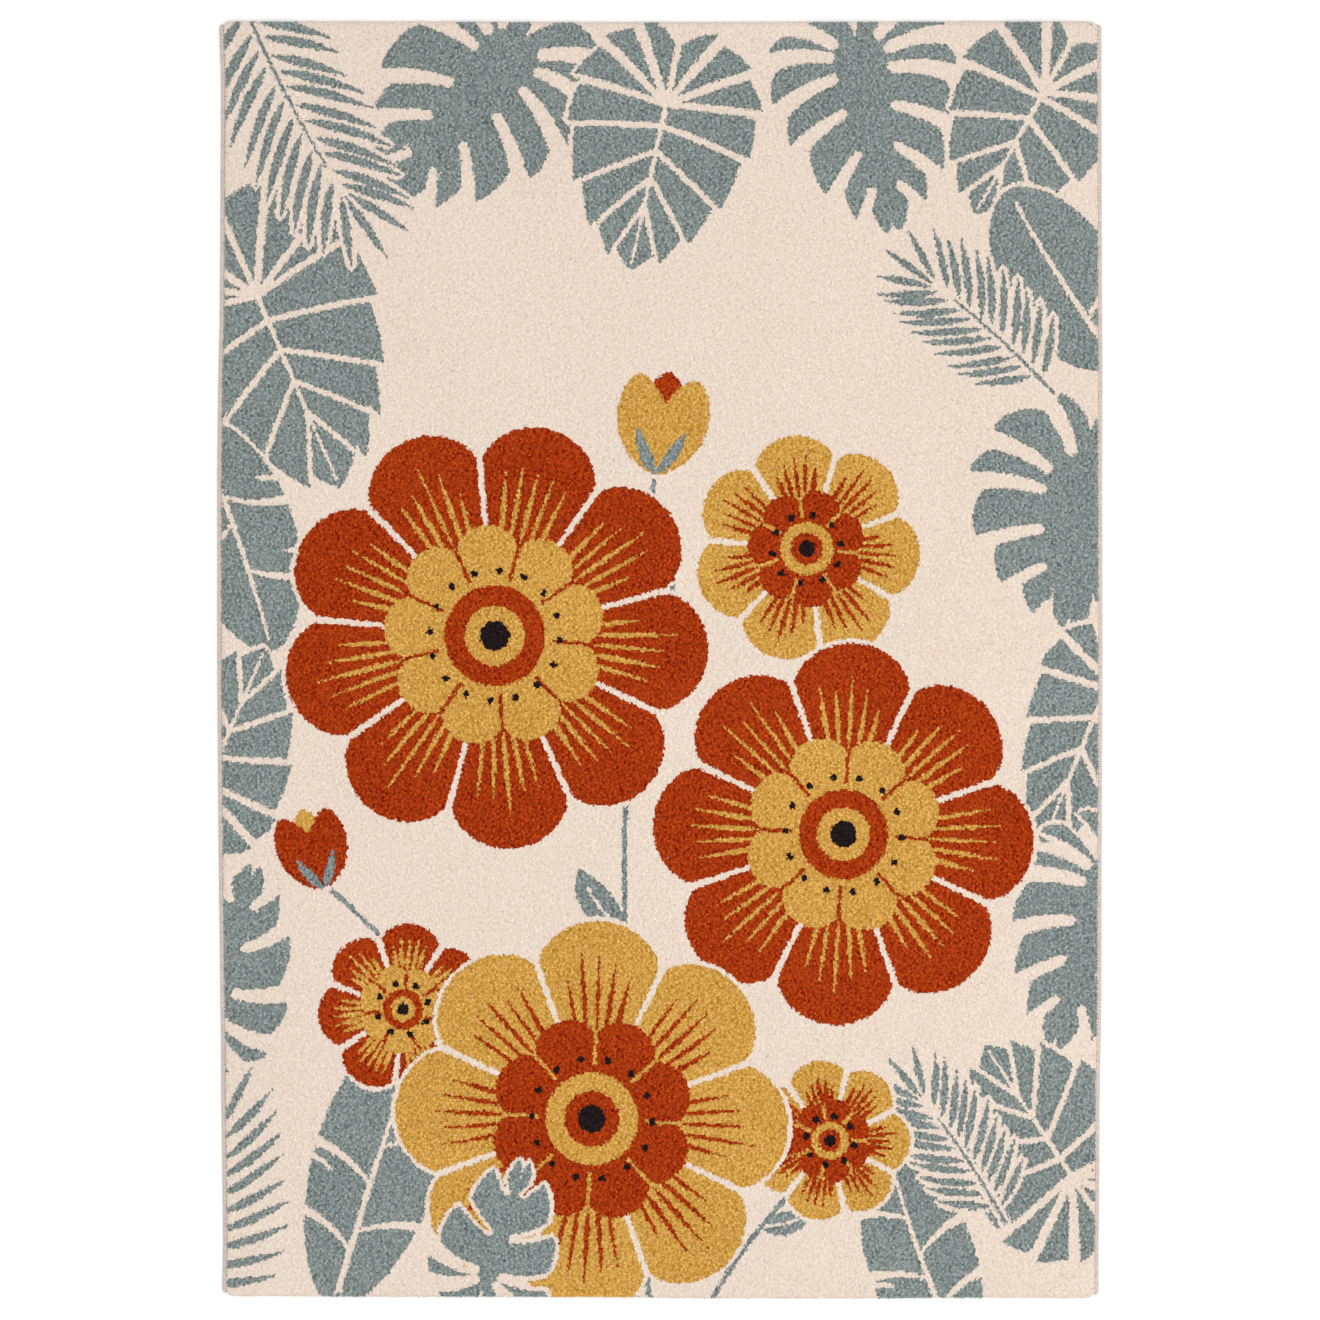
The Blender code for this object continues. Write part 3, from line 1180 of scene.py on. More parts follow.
class Outline:
    """The pile's outline on the floor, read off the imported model, anticlockwise."""

    def __init__(self, node: bpy.types.Object, corner: float = 0.012) -> None:
        """Follows the edges where the node's underside meets its walls.

        Args:
            node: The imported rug.
            corner: How near a corner the sides are no longer read.
        """
        mesh = bmesh.new()
        mesh.from_mesh(node.data)
        bmesh.ops.remove_doubles(mesh, verts=mesh.verts, dist=1e-6)
        floor = [f for f in mesh.faces if f.normal.z < -0.5 and f.calc_center_median().z < 0.5 * MM]
        under = {f.index for f in floor}
        following = {}
        for face in floor:
            for loop in face.loops:
                if not any(f.index in under for f in loop.edge.link_faces if f != face):
                    following[loop.link_loop_next.vert] = loop.vert
        ring = [next(iter(following))]
        while following[ring[-1]] != ring[0]:
            ring.append(following[ring[-1]])
        self.ring = np.array([v.co[:2] for v in ring])
        mesh.free()
        low, high = self.ring.min(axis=0), self.ring.max(axis=0)
        x, y = self.ring.T
        off_ends = np.abs(y) < high[1] - corner
        off_sides = np.abs(x) < high[0] - corner
        self.sides = [self.sorted_rows(self.ring[off_ends & (x * way > 0)][:, ::-1]) for way in (-1, 1)]
        self.ends = [self.sorted_rows(self.ring[off_sides & (y * way > 0)]) for way in (-1, 1)]
        self.low, self.high = low, high

    @staticmethod
    def sorted_rows(rows: np.ndarray) -> np.ndarray:
        """Rows in the order of their first column."""
        return rows[np.argsort(rows[:, 0])]

    def side(self, way: int, y: np.ndarray) -> np.ndarray:
        """The x of the left (-1) or right (1) side at each y."""
        rows = self.sides[way > 0]
        return np.interp(y, rows[:, 0], rows[:, 1])

    def end(self, way: int, x: np.ndarray) -> np.ndarray:
        """The y of the bottom (-1) or top (1) end at each x."""
        rows = self.ends[way > 0]
        return np.interp(x, rows[:, 0], rows[:, 1])

    def fitted(self, across: np.ndarray, along: np.ndarray) -> np.ndarray:
        """Fits places between the sides and the ends.

        Args:
            across: Their shares of the width, from 0 at the left.
            along: Their shares of the length, from 0 at the bottom.

        Returns:
            The places, one row each.
        """
        y = self.low[1] + along * (self.high[1] - self.low[1])
        x = self.side(-1, y) + across * (self.side(1, y) - self.side(-1, y))
        y = self.end(-1, x) + along * (self.end(1, x) - self.end(-1, x))
        return np.stack([x, y], axis=1)

    def shares(self, points: np.ndarray) -> tuple[np.ndarray, np.ndarray]:
        """Turns places back into shares.

        Args:
            points: Places on the rug, one row each.

        Returns:
            The share of the width and the share of the length at which each lies.
        """
        x, y = points.T
        left, right = self.side(-1, y), self.side(1, y)
        bottom, top = self.end(-1, x), self.end(1, x)
        return (x - left) / (right - left), (y - bottom) / (top - bottom)

    def inset(self, points: np.ndarray) -> np.ndarray:
        """How far inside the outline points are.

        Args:
            points: Places on the rug, one row each.

        Returns:
            Metres for each, less than nothing outside the outline.
        """
        best = np.full(len(points), np.inf)
        inside = np.zeros(len(points), bool)
        x, y = points.T
        for a, b in zip(self.ring, np.roll(self.ring, -1, axis=0)):
            run = b - a
            share = ((points - a) @ run / max(float(run @ run), 1e-12)).clip(0, 1)
            best = np.minimum(best, np.linalg.norm(points - a - share[:, None] * run, axis=1))
            if a[1] != b[1]:
                crosses = (a[1] > y) != (b[1] > y)
                inside ^= crosses & (x < run[0] * (y - a[1]) / run[1] + a[0])
        return np.where(inside, best, -best)

    def walk(self, spacing: float) -> tuple[np.ndarray, np.ndarray]:
        """Walks round the outline.

        Args:
            spacing: About how far apart the steps are.

        Returns:
            Evenly spaced points, and the way out at each.
        """
        closed = np.vstack([self.ring, self.ring[:1]])
        run = np.diff(closed, axis=0)
        length = np.linalg.norm(run, axis=1)
        reached = np.concatenate([[0.0], np.cumsum(length)])
        count = int(reached[-1] / spacing)
        at = np.arange(count) * reached[-1] / count
        points = np.stack([np.interp(at, reached, closed[:, k]) for k in (0, 1)], axis=1)
        ahead = run / length[:, None]
        piece = np.searchsorted(reached, at, side="right") - 1
        out = np.stack([ahead[piece, 1], -ahead[piece, 0]], axis=1)
        return points, out


@dataclass
class Pile:
    """The pile: a tuft for every knot, and upright yarn round the rim."""

    outline: Outline
    top: float
    pitch_across: float = 0.0030
    pitch_along: float = 0.0031
    stagger: float = 0.25
    shoulder: float = 0.0038
    drop: float = 0.0021
    spread: float = 1.10
    scatter: float = 0.18
    most_scatter: float = 0.0012
    edge_wobble: float = 0.10
    unevenness: float = 0.0006
    lean: float = 0.0010
    nap: float = 0.0007
    tuft_tone: float = 0.40
    fibre_tone: float = 0.50
    least_inset: float = 0.0002
    rim_knots: int = 5
    rim_spacing: float = 0.0020
    rim_radius: float = 0.0015
    rim_swing: float = 0.0006
    seed: int = 11
    columns: int = field(init=False)
    rows: int = field(init=False)

    def __post_init__(self) -> None:
        """Counts the knots."""
        width, length = self.outline.high - self.outline.low
        self.columns = round(width / self.pitch_across)
        self.rows = round(length / self.pitch_along)

    def tones(self, rng: np.random.Generator, whole: np.ndarray, each: int) -> np.ndarray:
        """How light each vertex is: partly the same for a whole tuft, and partly its own."""
        own = rng.normal(0, self.fibre_tone, len(whole) * each)
        return (np.repeat(self.tuft_tone * whole, each) + own).clip(-1.5, 1.5)

    def knot_noise(self, rng: np.random.Generator) -> np.ndarray:
        """A number for each knot, seldom like those of its neighbours, so that it looks fine and even.

        Args:
            rng: What it is drawn from.

        Returns:
            The numbers, row by row.
        """
        noise = rng.normal(0, 1, (self.rows, self.columns))
        around = sum(np.roll(noise, way, axis) for axis in (0, 1) for way in (-1, 1))
        return (noise - 0.25 * around).ravel()

    def surface(self, inset: np.ndarray) -> np.ndarray:
        """The pile's height at a distance from its outline: flat, and rounded down at the shoulder."""
        off = 1.0 - (inset / self.shoulder).clip(0, 1)
        return self.top - self.shoulder * (1.0 - np.sqrt(1.0 - 0.94 * off**2))

    def edge_turns(self, design: Design, place: np.ndarray) -> tuple[np.ndarray, np.ndarray]:
        """How the tufts at the edges of the pattern's shapes are turned, so that the edges run clean.

        Args:
            design: The pattern.
            place: The tufts' places.

        Returns:
            Whether another yarn begins beside each tuft, and the direction in which its own goes on.
        """
        own = design.yarn_near(*self.outline.shares(place))
        pull = np.zeros(place.shape)
        for degrees in range(0, 360, 30):
            away = ray(degrees)
            beside = design.yarn_near(*self.outline.shares(place + 0.5 * self.pitch_across * away))
            pull += (beside == own)[:, None] * away
        return np.hypot(*pull.T) > 0.5, np.arctan2(pull[:, 1], pull[:, 0])

    def field_tufts(self, design: Design) -> tuple[Shell, np.ndarray]:
        """A four-sided tuft with a leaning tip for every knot, and the yarn of each of its faces.

        A tuft at an edge of the pattern is worked half and half, and the edge runs over its middle.

        Args:
            design: The pattern.

        Returns:
            The tufts, and the yarn of each of their faces.
        """
        rng = np.random.default_rng(self.seed)
        row, column = np.divmod(np.arange(self.columns * self.rows), self.columns)
        across = (column + 0.5 + self.stagger * np.where(row % 2, 1, -1)) / self.columns
        along = (row + 0.5) / self.rows
        place = self.outline.fitted(across, along)
        whole, lower = self.knot_noise(rng), self.knot_noise(rng)
        near = np.minimum(
            np.minimum(across, 1 - across) * self.columns, np.minimum(along, 1 - along) * self.rows
        ) < self.rim_knots
        inset = np.full(len(place), 1.0)
        inset[near] = self.outline.inset(place[near])
        keep = inset > 0.4 * self.pitch_across
        place, inset, near, whole, lower = (a[keep] for a in (place, inset, near, whole, lower))
        count = len(place)
        scatter = rng.normal(0, self.scatter * self.pitch_across, (count, 2))
        place = place + scatter.clip(-self.most_scatter, self.most_scatter)
        at_edge, ahead = self.edge_turns(design, place)
        wobble = rng.normal(0, self.edge_wobble, count)
        turn = np.where(at_edge, ahead + wobble, rng.uniform(0, math.pi / 2, count))
        turn = turn[:, None] + np.arange(4) * math.pi / 2
        reach = self.spread * rng.uniform(0.93, 1.07, (count, 4))
        corners = np.empty((count, 5, 3))
        corners[:, :4, 0] = place[:, :1] + reach * self.pitch_across * np.cos(turn)
        corners[:, :4, 1] = place[:, 1:] + reach * self.pitch_along * np.sin(turn)
        sunk = self.unevenness * (0.4 + 0.4 * lower).clip(0, 1.4)
        corners[:, 4, :2] = place + rng.normal(0, self.lean / 2, (count, 2)) - np.array([0.0, self.nap])
        corners[:, 4, 2] = self.surface(inset) - sunk
        level = np.full((count, 4), self.top)
        foot = self.outline.inset(corners[near, :4, :2].reshape(-1, 2)).reshape(-1, 4)
        inner = inset[near, None]
        kept = ((inner - self.least_inset) / np.maximum(inner - foot, self.least_inset / 2)).clip(0, 1)
        kept = np.where(foot < self.least_inset, kept, 1.0)[:, :, None]
        corners[near, :4, :2] = place[near, None] + kept * (corners[near, :4, :2] - place[near, None])
        level[near] = self.surface(foot)
        corners[:, :4, 2] = level - (sunk + self.drop)[:, None]
        corners[:, :4, 2] += rng.normal(0, 0.10 * self.drop, (count, 4))
        first = 5 * np.arange(count)[:, None, None]
        sides = np.array([[0, 1, 4], [1, 2, 4], [2, 3, 4], [3, 0, 4]])
        faces = (first + sides).reshape(-1, 3)
        # Painted shade: full at the tufts' bases and none at their tips, and less near the outline, where a
        # tuft stands freer.
        free = 0.3 + 0.7 * (inset / self.shoulder).clip(0, 1)
        depth = (free[:, None] * np.array([1.0, 1.0, 1.0, 1.0, 0.0])).ravel()
        points = corners.reshape(-1, 3)
        middles = points[faces, :2].mean(axis=1).reshape(count, 4, 2)
        paired = (middles + middles[:, ::-1]) / 2
        middles = np.where(at_edge[:, None, None], paired, middles).reshape(-1, 2)
        yarn = design.yarn_near(*self.outline.shares(middles))
        shell = Shell(
            points, faces, self.tones(rng, whole, 5), depth,
            flat_map(points[:, :2], self.outline.low, self.outline.high),
        )
        return shell, yarn

    def rim_tufts(
        self, design: Design, inset: float, foot: float, head: float, seed: int, plain_sides: bool
    ) -> tuple[Shell, np.ndarray]:
        """Upright yarn round the rim.

        Args:
            design: The pattern, which gives each yarn its colour.
            inset: How far the yarn stands inside the outline.
            foot: The height of its lower end.
            head: The height of its tip.
            seed: What its unevenness is drawn from.
            plain_sides: Whether most of it is the ground's yarn along the long sides.

        Returns:
            The tufts, four-sided and pointed, and the yarn of each of their faces.
        """
        rng = np.random.default_rng(seed)
        at, out = self.outline.walk(self.rim_spacing)
        at = np.roll(at, seed, axis=0)
        out = np.roll(out, seed, axis=0)
        count = len(at)
        centre = at - (inset + rng.uniform(0, 0.4 * MM, count))[:, None] * out
        yarn = design.yarn_near(*self.outline.shares(centre - 1.2 * MM * out))
        if plain_sides:
            yarn[(np.abs(out[:, 0]) > 0.7) & (rng.random(count) < 0.85)] = Yarn.IVORY
        levels = np.array([0.0, 0.80, 1.0])
        girth = np.array([0.75, 1.0, 0.0]) * self.rim_radius
        lift = head - rng.uniform(0, 0.9 * MM, count) - foot
        swing = rng.normal(0, self.rim_swing, (count, 2)) + 0.5 * MM * out
        turn = rng.uniform(0, math.pi / 2, count)[:, None] + np.arange(4) * math.pi / 2
        points = np.empty((count, 9, 3))
        for level in (0, 1):
            middle = centre + levels[level] ** 2 * swing
            points[:, 4 * level : 4 * level + 4, 0] = middle[:, :1] + girth[level] * np.cos(turn)
            points[:, 4 * level : 4 * level + 4, 1] = middle[:, 1:] + girth[level] * np.sin(turn)
            points[:, 4 * level : 4 * level + 4, 2] = (foot + levels[level] * lift)[:, None]
        points[:, 8, :2] = centre + swing
        points[:, 8, 2] = foot + lift
        sides = [[k, (k + 1) % 4, 4 + (k + 1) % 4] for k in range(4)]
        sides += [[k, 4 + (k + 1) % 4, 4 + k] for k in range(4)]
        sides += [[4 + k, 4 + (k + 1) % 4, 8] for k in range(4)]
        first = 9 * np.arange(count)[:, None, None]
        unfolded = points[:, :, :2] + (self.top - points[:, :, 2:]) * out[:, None, :]
        low, high = self.outline.low, self.outline.high
        shell = Shell(
            points.reshape(-1, 3),
            (first + np.array(sides)).reshape(-1, 3),
            self.tones(rng, rng.normal(0, 1, count), 9),
            # painted shade: most at the feet, a little at the shoulders, none at the tips
            np.tile([0.6] * 4 + [0.1] * 4 + [0.0], count),
            flat_map(unfolded.reshape(-1, 2), low, high),
        )
        return shell, np.repeat(yarn, len(sides))

    def build(self, design: Design, materials: dict[Finish, bpy.types.Material]) -> list[bpy.types.Object]:
        """Makes a piece of each yarn, and for the ground's and the leaves' one of each band of the rug.

        Args:
            design: The pattern.
            materials: The finishes' materials.

        Returns:
            The pieces.
        """
        sets = [
            self.field_tufts(design),
            self.rim_tufts(design, 1.5 * MM, 1.8 * MM, self.top - 0.8 * MM, seed=3, plain_sides=False),
            self.rim_tufts(design, 0.7 * MM, 0.8 * MM, self.top - 3.2 * MM, seed=4, plain_sides=True),
        ]
        pieces = []
        for yarn in Yarn:
            for suffix, low, high in YARN_BANDS.get(yarn, [("", -1.0, 1.0)]):
                parts = []
                for shell, yarns in sets:
                    y = shell.points[shell.faces[:, 2], 1]
                    parts.append(shell.part((yarns == yarn) & (y >= low) & (y < high)))
                joined = parts[0] + parts[1] + parts[2]
                name = f"pile_{yarn.name.lower()}{suffix}"
                pieces.append(make_piece(name, joined, materials[YARN_FINISH[yarn]]))
        return pieces


@dataclass
class Backing:
    """The dense foot of the pile on its woven backing, and the bare strips inside the rolls."""

    outline: Outline
    top: float = 0.0092
    inset: float = 0.0016
    corner: float = 0.0027
    cell: float = 0.030
    strip_root: float = 0.0030
    strip_reach: float = 0.0033
    strip_heights: tuple[float, float] = (0.0022, 0.0042)
    strip_stations: int = 16

    def sheet(self) -> Shell:
        """A grid above and one below, with a wall round them.

        Returns:
            The closed sheet.
        """
        columns = round((self.outline.high[0] - self.outline.low[0]) / self.cell)
        rows = round((self.outline.high[1] - self.outline.low[1]) / self.cell)
        along, across = np.divmod(np.arange((columns + 1) * (rows + 1)), columns + 1)
        place = self.outline.fitted(across / columns, along / rows)
        middle = (self.outline.low + self.outline.high) / 2
        half = (self.outline.high - self.outline.low) / 2
        place = middle + (place - middle) * (1 - self.inset / half)
        corners = np.isin(across, (0, columns)) & np.isin(along, (0, rows))
        place[corners] -= self.corner * np.sign(place[corners])
        count = len(place)
        points = np.vstack([np.c_[place, np.full(count, self.top)], np.c_[place, np.zeros(count)]])
        quads = []
        for row in range(rows):
            for column in range(columns):
                a = row * (columns + 1) + column
                b, c, d = a + 1, a + columns + 2, a + columns + 1
                quads += [[a, b, c, d], [count + d, count + c, count + b, count + a]]
        rim = list(range(columns + 1)) + [columns + (columns + 1) * k for k in range(1, rows + 1)]
        rim += [rows * (columns + 1) + k for k in range(columns - 1, -1, -1)]
        rim += [(columns + 1) * k for k in range(rows - 1, 0, -1)]
        for a, b in zip(rim, rim[1:] + rim[:1]):
            quads.append([count + a, count + b, b, a])
        faces = np.array(quads)
        out = np.sign((place - middle) * (np.abs((place - middle) / half) > 0.985))
        spread = np.vstack([place, place + out * self.top])
        places = flat_map(spread, self.outline.low, self.outline.high)
        return Shell(points, faces, np.zeros(2 * count), np.zeros(2 * count), places[faces.ravel()])

    def strip(self, wall: np.ndarray, out: np.ndarray) -> Shell:
        """A bare strip that stands out of the pile's wall.

        Args:
            wall: A point of the wall for each station.
            out: The way out there.

        Returns:
            The closed strip.
        """
        low, high = self.strip_heights
        reach, root = self.strip_reach, -self.strip_root
        section = [(reach, low), (reach, high), (root, high), (root, low)]
        count = len(wall)
        points = np.empty((count, 4, 3))
        for spot, (x, z) in enumerate(section):
            points[:, spot, :2] = wall + x * out
            points[:, spot, 2] = z
        way = np.sign(out[0, 0])
        station, spot = np.divmod(np.arange(4 * (count - 1)), 4)
        a, b = 4 * station + spot, 4 * station + (spot + 1) % 4
        faces = np.stack([a, b, b + 4, a + 4], axis=1)[:, :: -int(way)]
        caps = np.array([[0, 1, 2, 3], 4 * (count - 1) + np.array([3, 2, 1, 0])])[:, :: -int(way)]
        faces = np.vstack([faces, caps])
        unrolled = self.top + 2 * MM + np.cumsum([0.0, *(high - low, reach - root) * 2])
        ends = np.stack([spot, spot + 1, spot + 1, spot], axis=1)[:, :: -int(way)]
        stations = np.stack([station, station, station + 1, station + 1], axis=1)[:, :: -int(way)]
        places = wall[stations] + unrolled[ends][:, :, None] * out[stations]
        cap_corners = np.array([wall[0] + 0.02 * out[0], wall[-1] + 0.02 * out[-1]])
        cap_places = cap_corners[:, None] + np.array([[0, 0], [2, 0], [2, 2], [0, 2]]) * MM
        places = np.vstack([places, cap_places]).reshape(-1, 2)
        still = np.zeros(4 * count)
        places = flat_map(places, self.outline.low, self.outline.high)
        return Shell(points.reshape(-1, 3), faces, still, still, places)

    def build(self, rolls: list["Overcast"], material: bpy.types.Material) -> bpy.types.Object:
        """Makes the piece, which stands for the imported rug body.

        Args:
            rolls: The yarn rolls that cover the strips.
            material: Its finish.

        Returns:
            The piece.
        """
        shell = self.sheet()
        for roll in rolls:
            wall, out, _ = roll.wall()
            last = len(wall) - 6
            stations = np.r_[np.arange(6, last, self.strip_stations), last]
            shell = shell + self.strip(wall[stations], out[stations])
        piece = make_piece("backing", shell, material, smooth=False)
        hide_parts("rug")
        return piece


@dataclass
class Overcast:
    """Yarn wound round a long edge, turn beside turn, and drawn in round at both ends.

    Its slot, which the bare strip fills, is given by its lower and upper heights and its depth.
    """

    node: str
    outline: Outline
    way: int
    gap: float = 0.0003
    width: float = 0.0056
    pitch: float = 0.0024
    rings_a_turn: int = 3
    groove: float = 0.00042
    slant: float = 0.0018
    round_end: float = 0.0030
    slot: tuple[float, float, float] = (0.0019, 0.0045, 0.0033)
    seed: int = 5
    strips: int = 8

    def wall(self) -> tuple[np.ndarray, np.ndarray, np.ndarray]:
        """The pile's wall behind the roll.

        Returns:
            A point for each ring of the roll, the way out from the wall there, and the way along it.
        """
        roll = np.array([v.co[:2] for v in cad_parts[self.node].data.vertices])
        behind = [p for p in self.outline.ring if np.linalg.norm(roll - p, axis=1).min() < 2 * self.gap]
        path = self.outline.sorted_rows(np.array(behind)[:, ::-1])[:, ::-1]
        reached = np.concatenate([[0.0], np.cumsum(np.linalg.norm(np.diff(path, axis=0), axis=1))])
        turns = round(reached[-1] / self.pitch)
        at = np.linspace(0.0, reached[-1], turns * self.rings_a_turn + 1)
        points = np.stack([np.interp(at, reached, path[:, k]) for k in (0, 1)], axis=1)
        ahead = np.gradient(points, axis=0)
        padded = [np.pad(a, 3, mode="edge") for a in ahead.T]
        ahead = np.stack([np.convolve(a, np.full(7, 1 / 7), "valid") for a in padded], axis=1)
        ahead = ahead / np.linalg.norm(ahead, axis=1)[:, None]
        return points, self.way * np.stack([ahead[:, 1], -ahead[:, 0]], axis=1), ahead

    def section(self, height: float) -> tuple[np.ndarray, np.ndarray]:
        """The roll's section, and how much each of its points follows the yarn's turns.

        Args:
            height: How high the roll stands above the floor.

        Returns:
            Its points from the slot's upper lip over the top and back under it, and their shares.
        """
        outer, foot, lip = 2.6 * MM, 1.4 * MM, 0.6 * MM
        points, follow = [], []
        for (x, z), radius, start, end, steps in (
            ((lip, height - lip), lip, 180, 90, 2),
            ((self.width - outer, height - outer), outer, 90, 0, 5),
            ((self.width - foot, foot), foot, 0, -90, 3),
            ((lip, lip), lip, -90, -180, 2),
        ):
            for k in range(steps):
                turn = math.radians(start + (end - start) * k / (steps - 1))
                points.append((x + radius * math.cos(turn), z + radius * math.sin(turn)))
                follow.append(1.0)
        low, high, deep = self.slot
        points += [(0.0, low), (deep, low), (deep, high), (0.0, high)]
        follow += [0.0] * 4
        return np.array(points), np.array(follow)

    def shell(self) -> Shell:
        """The roll, ribbed by its turns.

        Returns:
            The roll, open at both ends.
        """
        rng = np.random.default_rng(self.seed)
        wall, out, ahead = self.wall()
        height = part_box(self.node)[1].z
        rings = len(wall)
        turns = (rings - 1) // self.rings_a_turn
        section, follow = self.section(height)
        spots = len(section)
        middle = np.array([0.5 * self.width, 0.5 * height])
        outward = section - middle
        outward = outward / np.linalg.norm(outward, axis=1)[:, None]
        phase = np.arange(rings) / self.rings_a_turn
        uneven = np.interp(phase, np.arange(turns + 2), rng.uniform(0, 0.25 * MM, turns + 2))
        tone = rng.normal(0, 0.30, turns + 2).clip(-1, 1)[phase.astype(int)]
        shape = 1.0 - np.sin(math.pi * (phase % 1.0))
        sink = self.groove * shape + uneven
        local = section[None] - (sink[:, None] * follow[None])[:, :, None] * outward[None]
        from_end = self.pitch / self.rings_a_turn * np.minimum(np.arange(rings), np.arange(rings)[::-1])
        fullness = np.sqrt(1 - (1 - (from_end / self.round_end).clip(0, 1)) ** 2).clip(0.30, 1)
        local = middle + (local - middle) * fullness[:, None, None]
        swing = self.slant * (np.cumsum(follow) / follow.sum() - 0.5) * follow
        swing = np.clip(from_end / (3 * self.pitch), 0, 1)[:, None] * swing[None]
        points = np.empty((rings, spots, 3))
        points[:, :, :2] = wall[:, None] + (self.gap + local[:, :, :1]) * out[:, None]
        points[:, :, :2] += swing[:, :, None] * ahead[:, None]
        points[:, :, 2] = local[:, :, 1]
        ring, spot = np.divmod(np.arange((rings - 1) * spots), spots)
        after = (spot + 1) % spots
        a, b = ring * spots + spot, ring * spots + after
        quads = np.stack([a, b, b + spots, a + spots], axis=1)
        if self.way < 0:
            quads = quads[:, ::-1]
        strip = np.minimum(ring * self.strips // (rings - 1), self.strips - 1)
        length = (rings - 1) / self.strips
        corner_spot = np.stack([spot, spot + 1, spot + 1, spot], axis=1) / spots
        corner_ring = np.stack([ring, ring, ring + 1, ring + 1], axis=1) - (strip * length)[:, None]
        map_across = (strip[:, None] + 0.04 + 0.90 * corner_spot) / self.strips
        places = np.stack([map_across, 0.01 + 0.97 * corner_ring / length], axis=2)
        if self.way < 0:
            places = places[:, ::-1]
        # Painted shade in the grooves between the turns and over the whole slot.
        shaded = (shape[:, None] * follow[None] + (1 - follow)[None]).ravel()
        return Shell(points.reshape(-1, 3), quads, np.repeat(tone, spots), shaded, places.reshape(-1, 2))

    @staticmethod
    def close_ends(piece: bpy.types.Object) -> None:
        """Fills both ends of the roll and gives them a small place of their own on the map.

        Args:
            piece: The roll.
        """
        mesh = bmesh.new()
        mesh.from_mesh(piece.data)
        bake_map = mesh.loops.layers.uv[MAP_NAME]
        open_edges = [e for e in mesh.edges if e.is_boundary]
        ends = bmesh.ops.holes_fill(mesh, edges=open_edges)["faces"]
        for number, end in enumerate(ends):
            for loop in end.loops:
                x, _, z = loop.vert.co
                loop[bake_map].uv = (0.1 + 0.1 * number + abs(x) % 0.01, 0.986 + z)
        bmesh.ops.triangulate(mesh, faces=ends)
        mesh.to_mesh(piece.data)
        mesh.free()

    def build(self, material: bpy.types.Material) -> bpy.types.Object:
        """Makes the piece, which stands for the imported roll.

        Args:
            material: Its finish.

        Returns:
            The piece.
        """
        name = "overcast_" + ("right" if self.way > 0 else "left")
        piece = make_piece(name, self.shell(), material)
        self.close_ends(piece)
        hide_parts(self.node)
        return piece


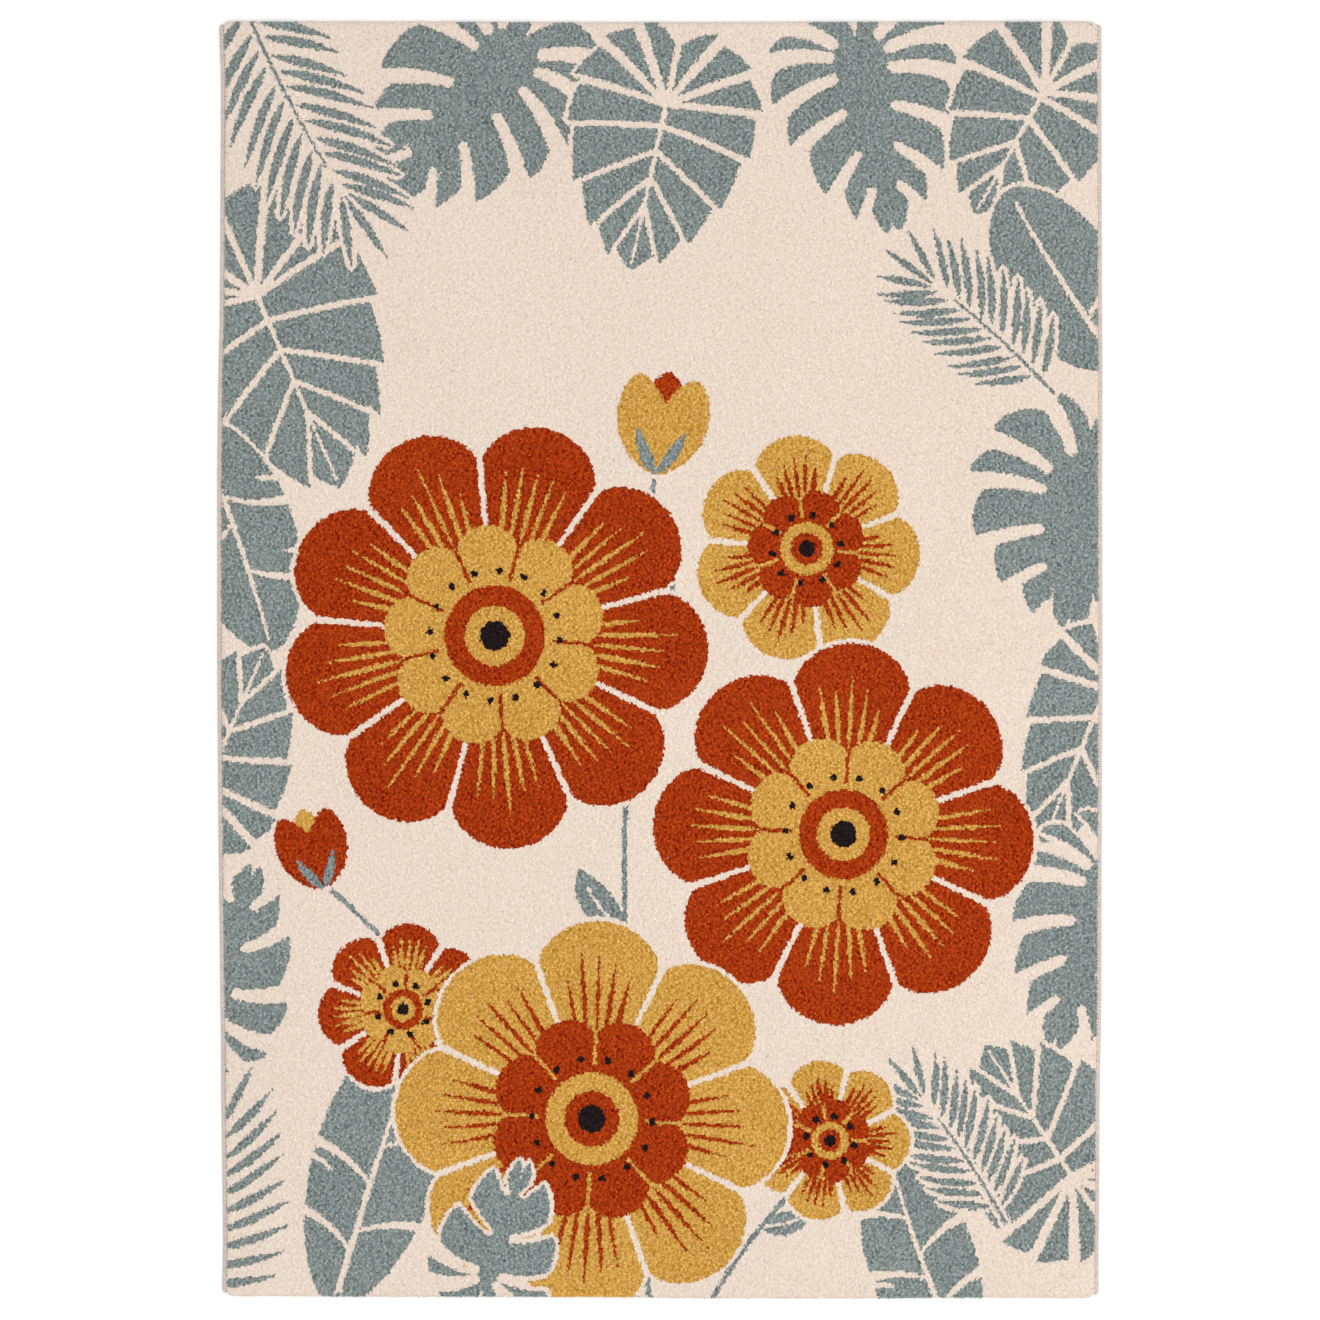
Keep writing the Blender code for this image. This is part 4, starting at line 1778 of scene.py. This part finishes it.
@dataclass
class Studio:
    """A pale floor, soft light and a camera straight above the rug."""

    view_width: float = 1.6538
    camera_height: float = 6.0
    floor_reach: float = 40.0
    floor_gap: float = 0.0002
    floor_colour: tuple[float, float, float, float] = linear(245, 245, 245)

    def camera(self) -> None:
        """Places the camera, and shows the colours as they are."""
        bpy.context.scene.view_settings.view_transform = "Standard"
        data = bpy.data.cameras.new("camera")
        data.sensor_width = 36.0
        data.lens = data.sensor_width * (self.camera_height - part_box("rug")[1].z) / self.view_width
        camera = bpy.data.objects.new("camera", data)
        camera.location = (0.0, 0.0, self.camera_height)
        bpy.context.scene.collection.objects.link(camera)
        bpy.context.scene.camera = camera

    def light(self) -> None:
        """Hangs a wide soft light overhead, a weaker one to the side, and lights the room evenly."""
        for name, place, size, power in (
            ("overhead", (0.35, -0.35, 4.5), 4.0, 176.0),
            ("side", (4.0, -1.0, 2.2), 2.0, 26.0),
        ):
            data = bpy.data.lights.new(name, "AREA")
            data.shape = "SQUARE"
            data.size = size
            data.energy = power
            lamp = bpy.data.objects.new(name, data)
            lamp.location = place
            lamp.rotation_euler = Vector(place).to_track_quat("Z", "Y").to_euler()
            bpy.context.scene.collection.objects.link(lamp)
        world = bpy.data.worlds.new("room")
        world.use_nodes = True
        background = world.node_tree.nodes["Background"]
        background.inputs["Color"].default_value = (1.0, 0.985, 0.965, 1.0)
        background.inputs["Strength"].default_value = 0.55
        bpy.context.scene.world = world

    def floor(self) -> None:
        """Lays the floor. It is clear from below and next to the rug's back, so that the back shows."""
        mesh = bpy.data.meshes.new("floor")
        r, z = self.floor_reach, -self.floor_gap
        mesh.from_pydata([(-r, -r, z), (r, -r, z), (r, r, z), (-r, r, z)], [], [(0, 1, 2, 3)])
        material = bpy.data.materials.new("floor")
        material.use_nodes = True
        tree = Tree(material.node_tree)
        nodes = material.node_tree.nodes
        shader = nodes["Principled BSDF"]
        below = tree.add("NewGeometry").outputs["Backfacing"]
        near = tree.math("LESS_THAN", tree.add("LightPath").outputs["Ray Length"], 8 * self.floor_gap)
        clear = tree.add("BsdfTransparent").outputs[0]
        unseen = tree.math("MAXIMUM", below, near)
        surface = tree.add("MixShader", i0=unseen, i1=shader.outputs[0], i2=clear)
        material.node_tree.links.new(surface.outputs[0], nodes["Material Output"].inputs["Surface"])
        shader.inputs["Base Color"].default_value = self.floor_colour
        shader.inputs["Roughness"].default_value = 0.8
        shader.inputs["Specular IOR Level"].default_value = 0.1
        mesh.materials.append(material)
        floor = bpy.data.objects.new("floor", mesh)
        bpy.context.scene.collection.objects.link(floor)

    def build(self) -> None:
        """Sets the studio up."""
        self.camera()
        self.light()
        self.floor()


def main() -> None:
    """Builds the studio, the pattern and the rug."""
    logging.basicConfig(level=logging.INFO, format="%(name)s: %(message)s")
    Studio().build()
    effects = Effects()
    materials = {finish: finish.value.material(effects) for finish in Finish}
    outline = Outline(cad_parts["rug"])
    pile = Pile(outline, top=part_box("rug")[1].z)
    width, length = outline.high - outline.low
    design = Design(DRAWING_FINENESS * pile.columns, DRAWING_FINENESS * pile.rows, width, length)
    design.work()
    LOG.info("%d knots of pattern", design.yarns.size)
    tufts = pile.build(design, materials)
    rolls = [Overcast("edge_overcast_left", outline, -1), Overcast("edge_overcast_right", outline, 1)]
    edges = [roll.build(materials[Finish.OVERCAST]) for roll in rolls]
    backing = Backing(outline).build(rolls, materials[Finish.BACKING])


if __name__ == "__main__":
    main()
